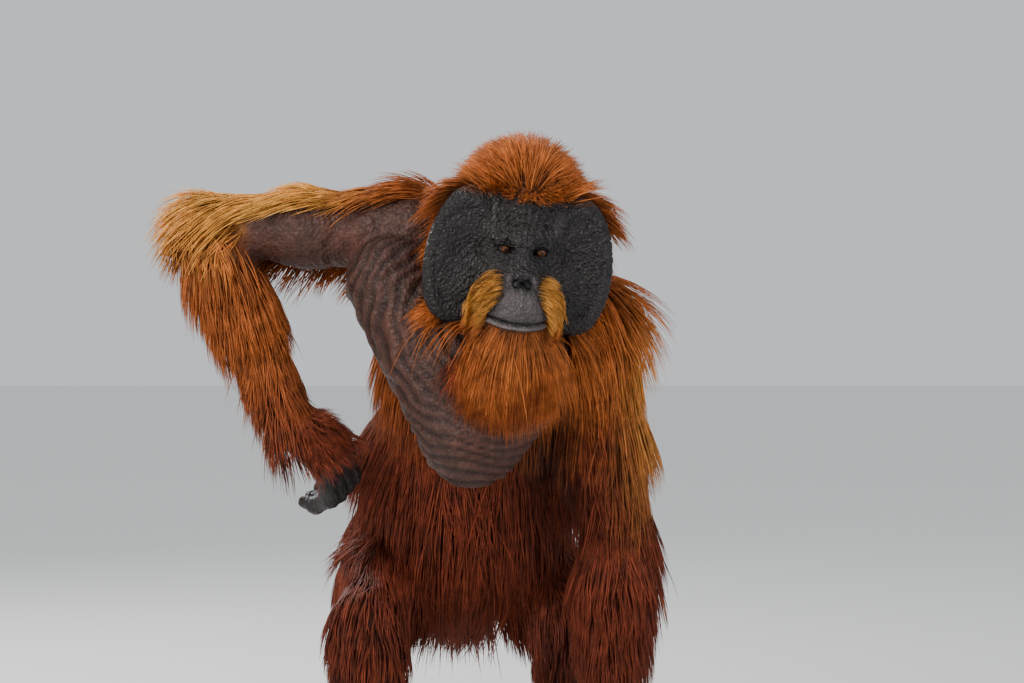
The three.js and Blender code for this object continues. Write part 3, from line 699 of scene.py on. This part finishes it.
print("deepest fold", round(float(-move.min()), 1), "mm")

# %% [markdown]
# Slack skin of the sac hangs in ridges that ring the chin. The raised arm's bare skin folds across, and hands
# and feet are finely creased. All three are vertex moves along the outward direction.

# %% Ridges of the throat sac and creases of the hands
near_part = np.argmin(np.stack([PARTS[n](BODY_POINTS) for n in PART_NAMES], 1), axis=1)
BODY_OUT = outwards(body_field, BODY_POINTS, 3)


def on(name):
    return near_part == PART_NAMES.index(name)


from_chin = np.linalg.norm((BODY_POINTS - in_head(0, -120, 20)) * (0.8, 0.6, 1), axis=1)
sac_wave = ripple(from_chin + 2.5 * waver(BODY_POINTS, 97), 17)
sac_ridge = on("sac") * (2.1 * sac_wave + 0.6 * waver(BODY_POINTS, 31))
arm_ridge = on("upper_arm_right") * 1.0 * ripple(BODY_POINTS[:, 0] + 6 * waver(BODY_POINTS, 83), 31)
hands = on("hand_left") | on("hand_right") | on("foot_left") | on("foot_right")
digit_crease = hands * 0.35 * waver(BODY_POINTS, 13)
above_floor = np.clip(BODY_POINTS[:, 2] / 12, 0, 1)
BODY_POINTS = BODY_POINTS + BODY_OUT * (above_floor * (sac_ridge + arm_ridge + digit_crease))[:, None]
set_vertices(body, to_frame(BODY_POINTS))
print("sac vertices", int(on("sac").sum()))

# %% [markdown]
# ## Bare and haired skin
# The face, the flanges, the sac, the underside of the raised arm, palms and soles are bare. The rest carries
# coat. Hair colour runs from rust on the body, darker towards the bottom, to orange on the head. Gold on top
# of the raised arm and on the outer left arm is partly the coat's own tint and partly painted sunlight, and
# the chest between the sac and the left arm carries painted shade. One function gives the colour for skin and
# coat alike, so that both carry the same markings and the same painted light and shade.


# %% Markings, painted sunlight and painted shade
def mix(a, b, t):
    t = np.clip(t, 0, 1)[:, None]
    return a * (1 - t) + np.asarray(b) * t


RUST, DEEP = at(0.175, 0.033, 0.013), at(0.085, 0.017, 0.009)
ORANGE, GOLD = at(0.42, 0.115, 0.024), at(0.74, 0.32, 0.06)
FACE, FLANGE = at(0.022, 0.018, 0.018), at(0.017, 0.014, 0.014)
HIDE, PALM = at(0.064, 0.028, 0.020), at(0.024, 0.020, 0.020)
IRIS, EYE_WHITE, PUPIL = at(0.12, 0.035, 0.009), at(0.02, 0.011, 0.008), at(0.004, 0.004, 0.004)
NAIL = at(0.020, 0.015, 0.013)


def hair_colour(p):
    x, y, z = p.T
    base = mix(np.tile(RUST, (len(p), 1)), DEEP, (520 - z) / 420 + 0.12 * waver(p, 240))
    base = mix(base, ORANGE, np.clip((z - 700) / 260, 0, 0.75))
    # Gold on top of the raised right arm and on the outer side of the left arm is partly the coat's own
    # lighter tint and partly painted sunlight.
    base = mix(base, GOLD, np.clip((-210 - x) / 90, 0, 1) * np.clip((z - 1010) / 60, 0, 1))
    base = mix(base, GOLD, np.clip((x - 150) / 50, 0, 1) * np.clip((z - 560) / 330, 0, 1) * 0.9)
    # Painted shade: the chest hair in the gap between the sac and the left arm is darkened where shade falls.
    shaded = window(x, 0, 120, 38) * np.clip((150 - y) / 60, 0, 1) * window(z, 540, 860, 70)
    base = mix(base, DEEP * 0.35, shaded * 0.85)
    h = head_places(p)
    near_head = np.clip(1.6 - np.linalg.norm(h * (1, 0.9, 0.9) - (0, -30, -60), axis=1) / 190, 0, 1)
    return mix(base, ORANGE * 1.08, near_head)


def head_bare(h):
    side = np.abs(h[:, 0])
    hairline = 94 - 0.0022 * h[:, 0] ** 2
    chin = -122 + 0.0017 * h[:, 0] ** 2
    face = (h[:, 2] > -62) & (h[:, 1] < hairline) & (h[:, 1] > chin)
    return face | ((side > 62) & (h[:, 2] > -40) & (h[:, 1] < 84) & (h[:, 1] > -150))


body_hair = np.ones(len(BODY_POINTS))
body_hair[on("sac")] = 0
shoulder_under = BODY_OUT @ unit(at(0, -0.75, -0.65))
by_armpit = on("trunk") & (BODY_POINTS[:, 2] > 880) & (BODY_POINTS[:, 0] < -120)
raised = on("upper_arm_right") | (on("forearm_right") & (BODY_POINTS[:, 2] > 960)) | by_armpit
body_hair[raised & (shoulder_under > 0.12) & (BODY_POINTS[:, 0] > -470)] = 0
front_of_shoulder = (BODY_POINTS[:, 0] < -125) & (BODY_POINTS[:, 0] > -330) & (BODY_POINTS[:, 2] > 860)
body_hair[front_of_shoulder & (BODY_OUT[:, 1] < -0.1) & (BODY_OUT[:, 2] < 0.75)] = 0
for name, end in (("hand_left", FIST), ("hand_right", HOOK), ("foot_left", FOOT_L), ("foot_right", FOOT_R)):
    rel = BODY_POINTS - end.root
    reach = HAND_BONE if "hand" in name else FOOT_BONE
    body_hair[on(name) & ((rel @ end.far > reach * 0.98) | (BODY_OUT @ end.top < 0.15))] = 0
body_hair = neighbour_mean(body, neighbour_mean(body, body_hair))

body_tone = mix(np.tile(HIDE, (len(BODY_POINTS), 1)), HIDE * (1.25, 1.1, 1.1), waver(BODY_POINTS, 140) * 0.4)
body_tone = np.where(hands[:, None], PALM, body_tone)
# Painted shade: the sac skin is darkened most in the troughs between its ridges and not at all on their
# crests.
body_tone = mix(body_tone, 0, (0.22 - 0.38 * sac_wave) * on("sac"))
body_tone = body_tone * (1 - body_hair[:, None]) + hair_colour(BODY_POINTS) * 0.35 * body_hair[:, None]

bare_head = head_bare(H).astype(float)
bare_head = neighbour_mean(head, neighbour_mean(head, bare_head))
head_tone = mix(np.tile(FACE, (len(H), 1)), FLANGE, on_flange)
head_tone = mix(head_tone, FACE * 6.5, front * bell(lip + 6.5, 4.5) * 0.95)
head_tone = mix(head_tone, FACE * 3.4, front * window(v, -110, -48, 15) * np.clip((46 - away) / 10, 0, 1))
wing = bell(np.hypot(away - 15, v + 42) - 8, 5) * (w > 36)
head_tone = mix(head_tone, FACE * 3.6, wing * 0.8)
# Painted shade: the nostrils, the eye sockets and the mouth line are darkened below.
nostril = np.clip(1.6 * bell(np.hypot((away - 10) / 1.25, v + 48), 6.5), 0, 1) * (w > 36)
head_tone = mix(head_tone, FACE * 0.2, np.clip(bell(eye_ring, 17) + front * bell(lip, 2.5) + nostril, 0, 1))
head_tone = head_tone * bare_head[:, None] + hair_colour(HEAD_POINTS) * 0.14 * (1 - bare_head[:, None])


def paint(piece, tone):
    layer = piece.data.color_attributes.new("tone", "FLOAT_COLOR", "POINT")
    rgba = np.column_stack([np.clip(tone, 0.002, 1), np.ones(len(tone))])
    layer.data.foreach_set("color", rgba.astype(np.float32).ravel())


paint(body, body_tone)
paint(head, head_tone)
print("haired share of the body", round(float(body_hair.mean()), 2))

# %% [markdown]
# ## Materials
# Skin is rough, finely creased and dark. Hair is rougher than the skin and varies from strand to strand.
# Both take their colour from the painted tone, markings together with painted sunlight and shade, and add
# grain in object space.


# %% Skin and hair materials
def material(name, rough, grain, bump, spread, gloss=0.4, cells=0.0):
    made = bpy.data.materials.new(name)
    made.use_nodes = True
    nodes, links = made.node_tree.nodes, made.node_tree.links
    shader = nodes["Principled BSDF"]
    tone = nodes.new("ShaderNodeAttribute")
    tone.attribute_name = "tone"
    place = nodes.new("ShaderNodeTexCoord")
    noise = nodes.new("ShaderNodeTexNoise")
    noise.inputs["Scale"].default_value = grain
    noise.inputs["Detail"].default_value = 5
    links.new(place.outputs["Object"], noise.inputs["Vector"])
    shade = nodes.new("ShaderNodeMapRange")
    shade.inputs["From Min"].default_value = 0.3
    shade.inputs["From Max"].default_value = 0.7
    shade.inputs["To Min"].default_value = 1 - spread
    shade.inputs["To Max"].default_value = 1 + spread
    links.new(noise.outputs["Fac"], shade.inputs["Value"])
    scaled = nodes.new("ShaderNodeVectorMath")
    scaled.operation = "SCALE"
    links.new(tone.outputs["Color"], scaled.inputs[0])
    links.new(shade.outputs["Result"], scaled.inputs["Scale"])
    links.new(scaled.outputs["Vector"], shader.inputs["Base Color"])
    height = noise.outputs["Fac"]
    if cells:
        pebble = nodes.new("ShaderNodeTexVoronoi")
        pebble.inputs["Scale"].default_value = cells
        links.new(place.outputs["Object"], pebble.inputs["Vector"])
        added = nodes.new("ShaderNodeMath")
        added.operation = "MULTIPLY_ADD"
        added.inputs[1].default_value = 0.8
        links.new(pebble.outputs["Distance"], added.inputs[0])
        links.new(noise.outputs["Fac"], added.inputs[2])
        height = added.outputs["Value"]
    if bump:
        relief = nodes.new("ShaderNodeBump")
        relief.inputs["Distance"].default_value = bump
        relief.inputs["Strength"].default_value = 0.7
        links.new(height, relief.inputs["Height"])
        links.new(relief.outputs["Normal"], shader.inputs["Normal"])
    shader.inputs["Roughness"].default_value = rough
    shader.inputs["Specular IOR Level"].default_value = gloss
    return made


hide_look = material("hide", 0.50, 60, 0.004, 0.35, 0.25, 150)
face_look = material("face_skin", 0.40, 90, 0.007, 0.30, 0.34, 190)
coat_look = material("coat", 0.60, 45, 0, 0.35, 0.22)
eye_look = material("eye", 0.10, 120, 0, 0.2, 0.3)
nail_look = material("nail", 0.5, 150, 0.0005, 0.2, 0.25)
body.data.materials.append(hide_look)
head.data.materials.append(face_look)
for skin in (body, head):
    for face in skin.data.polygons:
        face.use_smooth = True
print("materials", len(bpy.data.materials))

# %% [markdown]
# ## Eyes and nails
# The eye is a wet ball, almost all dark, with a brown iris, and it looks to the animal's left and a little
# down. A nail is a shallow curved plate on the back of each last bone.


# %% Eyes
GAZE = unit(HEAD @ at(0.22, -0.12, 1))
for side, name in ((1, "eye_left"), (-1, "eye_right")):
    bm = bmesh.new()
    centre = in_head(side * EYE_SPREAD, 0, EYE_DEPTH)
    spin = Vector((0, 0, 1)).rotation_difference(Vector(GAZE)).to_matrix().to_4x4()
    bmesh.ops.create_uvsphere(bm, u_segments=48, v_segments=32, radius=EYE_RADIUS / 1000, matrix=spin)
    for vert in bm.verts:
        bulge = math.exp(-((math.acos(max(-1, min(1, vert.co.normalized().dot(Vector(GAZE))))) / 0.42) ** 2))
        vert.co *= 1 + 0.05 * bulge
    bmesh.ops.translate(bm, verts=bm.verts, vec=to_frame(centre))
    ball = finished(name + "_ball", bm)
    rel = from_frame(vertices(ball)) - centre
    angle = np.degrees(np.arccos(np.clip(rel @ GAZE / np.linalg.norm(rel, axis=1), -1, 1)))
    tone = mix(np.tile(IRIS, (len(angle), 1)), EYE_WHITE, (angle - 27) / 5)
    tone = mix(tone, PUPIL, (13 - angle) / 2)
    paint(ball, tone)
    ball.data.materials.append(eye_look)
    ball.data.shade_smooth()
    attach(ball, "root")
    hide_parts(name)
print("eyes look", GAZE.round(2))

# %% [markdown]
# A nail is a shallow plate sunk in the back of the last bone. A flattened sphere gives it rounded edges at
# once.

# %% Nails
nail_bm = bmesh.new()
for end, chains in ((FIST, FIST_CHAINS), (HOOK, HOOK_CHAINS), (FOOT_L, TOE_CHAINS_L), (FOOT_R, TOE_CHAINS_R)):
    for links in chains:
        a, b, ra, rb = links[-1]
        way = unit(b - a)
        across = unit(end.row - way * (end.row @ way))
        bend_up = end.top * (way @ end.far) + end.far * -(way @ end.top)
        up = unit(bend_up - way * (bend_up @ way))
        turn = np.stack([across, way, up], 1)
        spot = to_frame(between(a, b, 0.86) + up * rb * 0.80)
        place = Matrix.Translation(spot) @ Matrix(turn.tolist()).to_4x4()
        bmesh.ops.create_uvsphere(
            nail_bm, u_segments=16, v_segments=10, radius=0.001,
            matrix=place @ Matrix.Diagonal((rb * 0.68, rb * 0.95, rb * 0.30, 1)),
        )
for vert in nail_bm.verts:
    vert.co.z = max(vert.co.z, 0.0005)
nails = finished("nails", nail_bm)
paint(nails, np.tile(NAIL, (len(nails.data.vertices), 1)))
nails.data.materials.append(nail_look)
nails.data.shade_smooth()
print("nail vertices", len(nails.data.vertices))

# %% [markdown]
# ## The coat
# The coat is long, thin locks that overlap along the lie and hang at their ends. Each lock is a slim tapered
# strand of three sides, drawn from its root along the skin. Neighbours lean together into tufts, as real hair
# clumps. Particle hair would be quicker to make, but it has no surface of its own to keep as a mesh.

# %% Directions of the lie
FAR_ENDS = {
    "upper_arm_left": (SHOULDER_L, ELBOW_L), "forearm_left": (ELBOW_L, WRIST_L),
    "upper_arm_right": (SHOULDER_R, ELBOW_R), "forearm_right": (ELBOW_R, WRIST_R),
    "thigh_left": (HIP_L, KNEE_L), "thigh_right": (HIP_R, KNEE_R),
    "shin_left": (KNEE_L, ANKLE_L), "shin_right": (KNEE_R, ANKLE_R),
    "hand_left": (WRIST_L, FIST.place(0, 100, 0)), "hand_right": (WRIST_R, HOOK.place(0, 100, 0)),
    "foot_left": (FOOT_L.place(0, -60, 60), FOOT_L.place(0, 100, 0)),
    "foot_right": (FOOT_R.place(0, -60, 60), FOOT_R.place(0, 100, 0)),
    "trunk": (CHEST_TOP, PELVIS), "neck": (NECK_TOP, NECK_ROOT), "sac": (SAC_TOP, SAC_BOTTOM),
}
DOWN = at(0, 0, -1)
HAIR_SIZE = {
    "trunk": (150, 2.9), "neck": (130, 2.7), "upper_arm_left": (165, 2.7), "forearm_left": (150, 2.7),
    "upper_arm_right": (115, 2.5), "forearm_right": (130, 2.6), "thigh_left": (105, 2.9),
    "thigh_right": (105, 2.9), "shin_left": (80, 2.8), "shin_right": (80, 2.8), "sac": (80, 3.0),
    "hand_left": (48, 1.8), "hand_right": (56, 1.8), "foot_left": (34, 1.7), "foot_right": (34, 1.7),
}


def flat_on(way, normal):
    flat = way - normal * np.sum(way * normal, 1)[:, None]
    return flat / (np.linalg.norm(flat, axis=1)[:, None] + 1e-9)


def body_lie(points, normals, names):
    way = np.array([unit(FAR_ENDS[n][1] - FAR_ENDS[n][0]) for n in names])
    pull = np.array([0.9 if n in ("trunk", "neck", "upper_arm_right") else 0.35 for n in names])
    return flat_on(way + DOWN * pull[:, None], normals)


def head_lie(points, normals):
    h = head_places(points)
    back = np.stack([h[:, 0] * 0.026, np.clip(0.015 * (h[:, 2] + 60), -0.6, 0.9), np.full(len(h), -1.0)], 1)
    side = np.stack([h[:, 0] * 0.013, np.full(len(h), -0.9), np.full(len(h), 0.05)], 1)
    crown = np.clip((h[:, 1] - 55) / 40, 0, 1)[:, None]
    return flat_on((back * crown + side * (1 - crown)) @ HEAD.T, normals)


print("lie set for", len(FAR_ENDS), "parts")


# %% [markdown]
# Hair grows from the skin, so each strand's root is a random spot on it, chosen by area and by the share of
# hair there. The root keeps the skin's own unwrap, which later places the strand's patch for baking.

# %% Roots on the skin
def unwrap(skin):
    bpy.context.view_layer.objects.active = skin
    skin.select_set(True)
    bpy.ops.object.mode_set(mode="EDIT")
    bpy.ops.mesh.select_all(action="SELECT")
    bpy.ops.uv.smart_project(angle_limit=1.15, island_margin=0.002)
    bpy.ops.object.mode_set(mode="OBJECT")
    skin.select_set(False)


class Roots:
    def __init__(self, skin, points, out):
        mesh = skin.data
        mesh.calc_loop_triangles()
        count = len(mesh.loop_triangles)
        corner, loop = np.empty(count * 3, np.int32), np.empty(count * 3, np.int32)
        mesh.loop_triangles.foreach_get("vertices", corner)
        mesh.loop_triangles.foreach_get("loops", loop)
        flat = np.empty(len(mesh.loops) * 2, np.float32)
        mesh.uv_layers.active.data.foreach_get("uv", flat)
        self.corner, self.points, self.out = corner.reshape(-1, 3), points, out
        self.uv = flat.reshape(-1, 2)[loop.reshape(-1, 3)]
        a, b, c = (points[self.corner[:, i]] for i in range(3))
        self.area = np.linalg.norm(np.cross(b - a, c - a), axis=1) / 2

    def pick(self, amount, count, rng):
        weight = self.area * amount[self.corner].min(1)
        chosen = rng.choice(len(weight), count, p=weight / weight.sum())
        s, t = np.sqrt(rng.random(count)), rng.random(count)
        share = np.stack([1 - s, s * (1 - t), s * t], 1)[:, :, None]
        place = (self.points[self.corner[chosen]] * share).sum(1)
        out = (self.out[self.corner[chosen]] * share).sum(1)
        return place, out / np.linalg.norm(out, axis=1)[:, None], (self.uv[chosen] * share).sum(1), chosen


unwrap(body)
unwrap(head)
body_roots = Roots(body, BODY_POINTS, BODY_OUT)
head_roots = Roots(head, HEAD_POINTS, HEAD_OUT)
print("skin area", round(float(body_roots.area.sum()) / 1e6, 2), "m2")

# %% [markdown]
# A strand leaves the skin at a low angle, creeps along the lie, is kept above the body, and bends down a
# little at each step under its weight. Strands near each other are then drawn to one leader, which makes
# tufts.

# %% Strand lines
STEPS = 5
TUFT_REACH = 45
OVER_FLOOR = 4


def strand_lines(root, out, lie, length, rise, hang, field, rng):
    spot = root - out * 2
    way = flat_on(lie + 0.22 * rng.normal(size=root.shape), out) + out * rise[:, None]
    way /= np.linalg.norm(way, axis=1)[:, None]
    line = [spot]
    for k in range(STEPS):
        spot = spot + way * (length / STEPS)[:, None]
        depth = field(spot)
        grad = outwards(field, spot, 3)
        floor_gap = 3 + 13 * rise * (k + 1)
        spot = spot + grad * np.maximum(floor_gap - depth, 0)[:, None]
        spot[:, 2] = np.maximum(spot[:, 2], OVER_FLOOR)
        way = spot - line[-1]
        way = way / np.linalg.norm(way, axis=1)[:, None] + DOWN * hang
        way /= np.linalg.norm(way, axis=1)[:, None]
        line.append(spot)
    return np.stack(line, 1)


def clumped(line, rng, every=16, pull=0.62):
    leaders = rng.choice(len(line), max(len(line) // every, 1), replace=False)
    tree = KDTree(len(leaders))
    for i, leader in enumerate(leaders):
        tree.insert(line[leader, 0], i)
    tree.balance()
    nearest = leaders[[tree.find(root)[1] for root in line[:, 0]]]
    share = pull * (np.arange(STEPS + 1) / STEPS) ** 1.2
    near = np.linalg.norm(line[nearest, 0] - line[:, 0], axis=1) < TUFT_REACH
    share = share[None, :, None] * near[:, None, None]
    return line * (1 - share) + line[nearest] * share


print("a strand bends", STEPS, "times")


# %% [markdown]
# A strand of three sides that tapers to a point takes few triangles and still has a lit and a shaded side.
# The arrays of a piece's strands fill one mesh, since an operator for each strand would take hours.

# %% Strands as meshes
TAPER = np.array([0.6, 1.0, 0.95, 0.75, 0.45])
BAKE_PATCH = 0.003


def strand_mesh(name, line, out, uv, width, colour, rng):
    count = len(line)
    way = np.gradient(line, axis=1)
    way /= np.linalg.norm(way, axis=2)[:, :, None] + 1e-9
    side = np.cross(way, out[:, None, :])
    side /= np.linalg.norm(side, axis=2)[:, :, None] + 1e-9
    top = np.cross(side, way)
    rings = STEPS
    half = (width[:, None] * TAPER)[:, :, None] / 2
    low = line[:, :rings]
    corners = np.stack([
        low - side[:, :rings] * half, low + side[:, :rings] * half, low + top[:, :rings] * half * 0.7,
    ], 2).reshape(count, rings * 3, 3)
    points = np.concatenate([corners, line[:, -1:]], 1)
    faces = [(0, 2, 1)]
    for k in range(rings - 1):
        for i in range(3):
            j = (i + 1) % 3
            a, b, c, d = 3 * k + i, 3 * k + j, 3 * k + 3 + j, 3 * k + 3 + i
            faces += [(a, b, c), (a, c, d)]
    last = 3 * (rings - 1)
    faces += [(last + i, last + (i + 1) % 3, rings * 3) for i in range(3)]
    faces = np.array(faces)
    per = rings * 3 + 1
    corner = (faces.ravel()[None, :] + per * np.arange(count)[:, None]).ravel()
    mesh = bpy.data.meshes.new(name)
    mesh.vertices.add(count * per)
    mesh.vertices.foreach_set("co", to_frame(points.reshape(-1, 3)).astype(np.float32).ravel())
    mesh.loops.add(len(corner))
    mesh.loops.foreach_set("vertex_index", corner.astype(np.int32))
    mesh.polygons.add(len(corner) // 3)
    mesh.polygons.foreach_set("loop_start", np.arange(0, len(corner), 3, dtype=np.int32))
    mesh.polygons.foreach_set("use_smooth", np.ones(len(corner) // 3, bool))
    mesh.update(calc_edges=True)
    step = np.append(np.repeat(np.arange(rings), 3), rings) / rings - 0.5
    turn = np.append(np.tile([-0.5, 0.5, 0.0], rings), 0.0)
    patch = np.stack([turn, step], 1) * BAKE_PATCH
    spots = (uv[:, None, :] + patch[None]).reshape(-1, 2)
    layer = mesh.uv_layers.new(name="OFBake")
    layer.data.foreach_set("uv", spots[corner].astype(np.float32).ravel())
    lighter = 0.55 + 0.75 * np.append(np.repeat(np.arange(rings), 3), rings) / rings
    each = 1 + 0.28 * rng.normal(size=(count, 1, 1)).clip(-1.6, 2)
    tone = colour[:, None, :] * lighter[None, :, None] * each
    piece = placed(name, mesh)
    paint(piece, tone.reshape(-1, 3))
    mesh.materials.append(coat_look)
    return piece


print("a strand has", 2 * 3 * (STEPS - 1) + 4, "triangles")

# %% [markdown]
# Hair is longest on trunk and upper arms and shortest on hands and feet. Each region is a piece of its own,
# cut so that none grows too large.

# %% Coat of the body
rng = np.random.default_rng(20)
NODES_OF = {
    "coat_trunk": (("trunk", "neck"), 12400, ("chest", "abdomen", "neck")),
    "coat_arm_left": (("upper_arm_left", "forearm_left"), 6000, ("upper_arm_left", "forearm_left")),
    "coat_arm_right": (("upper_arm_right", "forearm_right"), 5200, ("upper_arm_right", "forearm_right")),
    "coat_leg_left": (("thigh_left", "shin_left"), 3700, ("thigh_left", "shin_left")),
    "coat_leg_right": (("thigh_right", "shin_right"), 3700, ("thigh_right", "shin_right")),
    "coat_hands": (("hand_left", "hand_right"), 1900, ("hand_left", "hand_right")),
    "coat_feet": (("foot_left", "foot_right"), 1500, ("foot_left", "foot_right")),
}
MOST = 7000
coat = []


def keep_coat(name, nodes, line, out, uv, width, colour):
    for start in range(0, len(line), MOST):
        some = slice(start, start + MOST)
        label = f"{name}_{start // MOST + 1}"
        piece = strand_mesh(label, line[some], out[some], uv[some], width[some], colour[some], rng)
        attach(piece, "root")
        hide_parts(*nodes)
        coat.append(piece)


for name, (parts, count, nodes) in NODES_OF.items():
    here = np.isin(near_part, [PART_NAMES.index(n) for n in parts]) * np.clip(body_hair * 1.4 - 0.4, 0, 1)
    inside_head = np.clip(head_field(BODY_POINTS) / 10, 0, 1)
    root, out, uv, chosen = body_roots.pick(here * inside_head, count, rng)
    names = [PART_NAMES[i] for i in near_part[body_roots.corner[chosen, 0]]]
    names = [n if n in parts else parts[0] for n in names]
    size = np.array([HAIR_SIZE[n] for n in names])
    length = size[:, 0] * rng.uniform(0.65, 1.12, count)
    short = "hands" in name or "feet" in name
    under_belly = (root[:, 2] < 620) & (out[:, 2] < -0.2) & (root[:, 1] < 290)
    length *= np.where(under_belly & ("trunk" in name), 1.45, 1)
    hang = 0.10 if short else 0.38 if "leg" in name else 0.16
    around = whole_field if "trunk" in name else body_field
    rise = np.full(count, 0.05 if "leg" in name else 0.12)
    line = strand_lines(root, out, body_lie(root, out, names), length, rise, hang, around, rng)
    line = clumped(line, rng, 12, 0.45)
    width = size[:, 1] * rng.uniform(0.8, 1.4, count)
    keep_coat(name, nodes, line, out, uv, width, hair_colour(root))
print("body strands", sum(len(c.data.vertices) for c in coat) // (STEPS * 3 + 1))

# %% [markdown]
# The crown is brushed up and back, the sides hang behind the flanges, a short fringe breaks the hairline, the
# beard falls over the sac, and two golden patches lie beside the muzzle.

# %% Hair of the head
haired = np.clip((1 - bare_head) * 1.3 - 0.1, 0, 1) * (body_field(HEAD_POINTS) > 2)
behind = H[:, 2] < -38
crown = haired * (v > 20) * (away < 74)
sides = haired * behind * (v > -128) * np.maximum(away >= 74, v <= 20)
fringe = facing * window(v, 82, 104, 5) * (away < 70)
beard = haired * (v <= -112) * np.maximum(away < 70, v < -128)
cheek = fold_distance(away, v, (36, -54), (62, -86)), fold_distance(away, v, (62, -86), (66, -136))
beside_muzzle = away > 28 + 0.5 * np.clip(-60 - v, 0, 40)
moustache = facing * np.clip(1.4 - np.minimum(*cheek) / 18, 0, 1) * beside_muzzle
HEAD_HAIR = (
    ("hair_crown", crown, 4700, 82, 1.9, 0.12, 0.09), ("hair_sides", sides, 5200, 88, 2.0, 0.22, 0.12),
    ("hair_fringe", fringe, 700, 26, 1.0, 0.30, 0.10), ("beard", beard, 4900, 165, 2.0, 0.10, 0.36),
    ("moustache", moustache, 2400, 24, 0.9, 0.22, 0.16),
)
for name, amount, count, size, width, rise, hang in HEAD_HAIR:
    root, out, uv, chosen = head_roots.pick(amount, count, rng)
    lie = head_lie(root, out)
    if name == "moustache":
        across = np.sign(head_places(root)[:, 0]) * 0.5
        lie = flat_on(np.stack([across, -np.ones(count), np.zeros(count)], 1) @ HEAD.T, out)
    if name == "hair_fringe":
        spread = np.stack([rng.normal(0, 0.7, count), rng.uniform(-1, 0.6, count), np.zeros(count)], 1)
        lie = flat_on(spread @ HEAD.T, out)
    length = size * rng.uniform(0.6, 1.15, count)
    line = strand_lines(root, out, lie, length, np.full(count, rise), hang, whole_field, rng)
    line = clumped(line, rng, 10, 0.4)
    gold_share = (-96 - head_places(root)[:, 1]) / 30
    colour = hair_colour(root)
    if name == "moustache":
        colour = mix(np.tile(GOLD * 0.85, (count, 1)), ORANGE, gold_share)
    if name == "beard":
        colour = mix(np.tile(ORANGE, (count, 1)), RUST * 1.1, (-134 - head_places(root)[:, 1]) / 40)
    skull = ("head", "cheek_flange_left", "cheek_flange_right")
    nodes = ("jaw",) if name in ("beard", "moustache") else skull
    keep_coat(name, nodes, line, out, uv, width * rng.uniform(0.7, 1.3, count), colour)
print("coat triangles", sum(len(c.data.polygons) for c in coat))

# %% [markdown]
# ## What each piece stands for
# The body skin replaces the flesh of trunk and limbs. The head skin replaces skull, jaw, flanges and ears.

# %% Rides
FLESH = ["chest", "abdomen", "neck", "throat_sac"]
for kind in ("upper_arm", "forearm", "hand", "thigh", "shin", "foot"):
    FLESH += [kind + "_left", kind + "_right"]
for piece, nodes, slot_name in (
    (body, FLESH, "hide"),
    (head, ["head", "jaw", "cheek_flange_left", "cheek_flange_right", "ear_left", "ear_right"], "face_skin"),
    (nails, ["hand_left", "hand_right", "foot_left", "foot_right"], "hide"),
):
    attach(piece, "root")
    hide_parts(*nodes)
print("pieces", len(coat) + 5)

# %% [markdown]
# ## Floor, light and camera
# A pale floor and soft light from the upper left show the form plainly. The camera stands where the
# photograph was taken, level with the head.

# %% Stage
floor_bm = bmesh.new()
bmesh.ops.create_grid(floor_bm, x_segments=1, y_segments=1, size=12)
ground = finished("floor", floor_bm)
floor_look = bpy.data.materials.new("floor")
floor_look.use_nodes = True
floor_look.node_tree.nodes["Principled BSDF"].inputs["Base Color"].default_value = (0.82, 0.81, 0.79, 1)
floor_look.node_tree.nodes["Principled BSDF"].inputs["Roughness"].default_value = 0.8
ground.data.materials.append(floor_look)
ground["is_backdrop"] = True

sky = bpy.data.worlds.new("studio")
sky.use_nodes = True
sky.node_tree.nodes["Background"].inputs["Color"].default_value = (0.80, 0.84, 0.88, 1)
sky.node_tree.nodes["Background"].inputs["Strength"].default_value = 0.85
bpy.context.scene.world = sky


def lamp(name, spot, target, size, power, colour=(1, 1, 1)):
    light = bpy.data.lights.new(name, "AREA")
    light.size, light.energy, light.color = size, power, colour
    holder = bpy.data.objects.new(name, light)
    holder.location = spot
    holder.rotation_euler = (Vector(target) - Vector(spot)).to_track_quat("-Z", "Y").to_euler()
    bpy.context.scene.collection.objects.link(holder)


lamp("key", (-2.2, -2.6, 3.2), (0, 0, 0.7), 1.6, 130, (1, 0.97, 0.92))
lamp("fill", (3.0, -2.6, 1.8), (0, 0, 0.7), 2.5, 30)
lamp("rim", (-1.6, 2.4, 2.6), (0, 0, 0.9), 1.2, 80)
print("lights set")

# %% [markdown]
# The photograph was taken level with the head from some way off, so the lens is long.

# %% Camera
AIM = to_frame(at(-8.5, -150, 850))
LOW = math.radians(3)
AWAY = 7.23
eye_point = AIM + AWAY * at(0, -math.cos(LOW), math.sin(LOW))
shot = bpy.data.cameras.new("camera")
shot.lens, shot.sensor_width = 150, 36
camera = bpy.data.objects.new("camera", shot)
camera.location = eye_point
camera.rotation_euler = (Vector(AIM) - Vector(eye_point)).to_track_quat("-Z", "Y").to_euler()
bpy.context.scene.collection.objects.link(camera)
bpy.context.scene.camera = camera
print("camera at", [round(float(c), 2) for c in eye_point])

# %% [markdown]
# The visual model has to stay in the solids' box but for the loose ends of the coat. Each shown piece whose
# front edge reaches more than a centimetre past the solids in front is printed.

# %% Sizes
SLACK = 0.01
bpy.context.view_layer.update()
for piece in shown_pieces():
    front_edge = min((piece.matrix_world @ Vector(c)).y for c in piece.bound_box)
    if front_edge < cad_low[1] - SLACK:
        print(piece.name, "reaches", round(front_edge - cad_low[1], 3), "m past the solids in front")
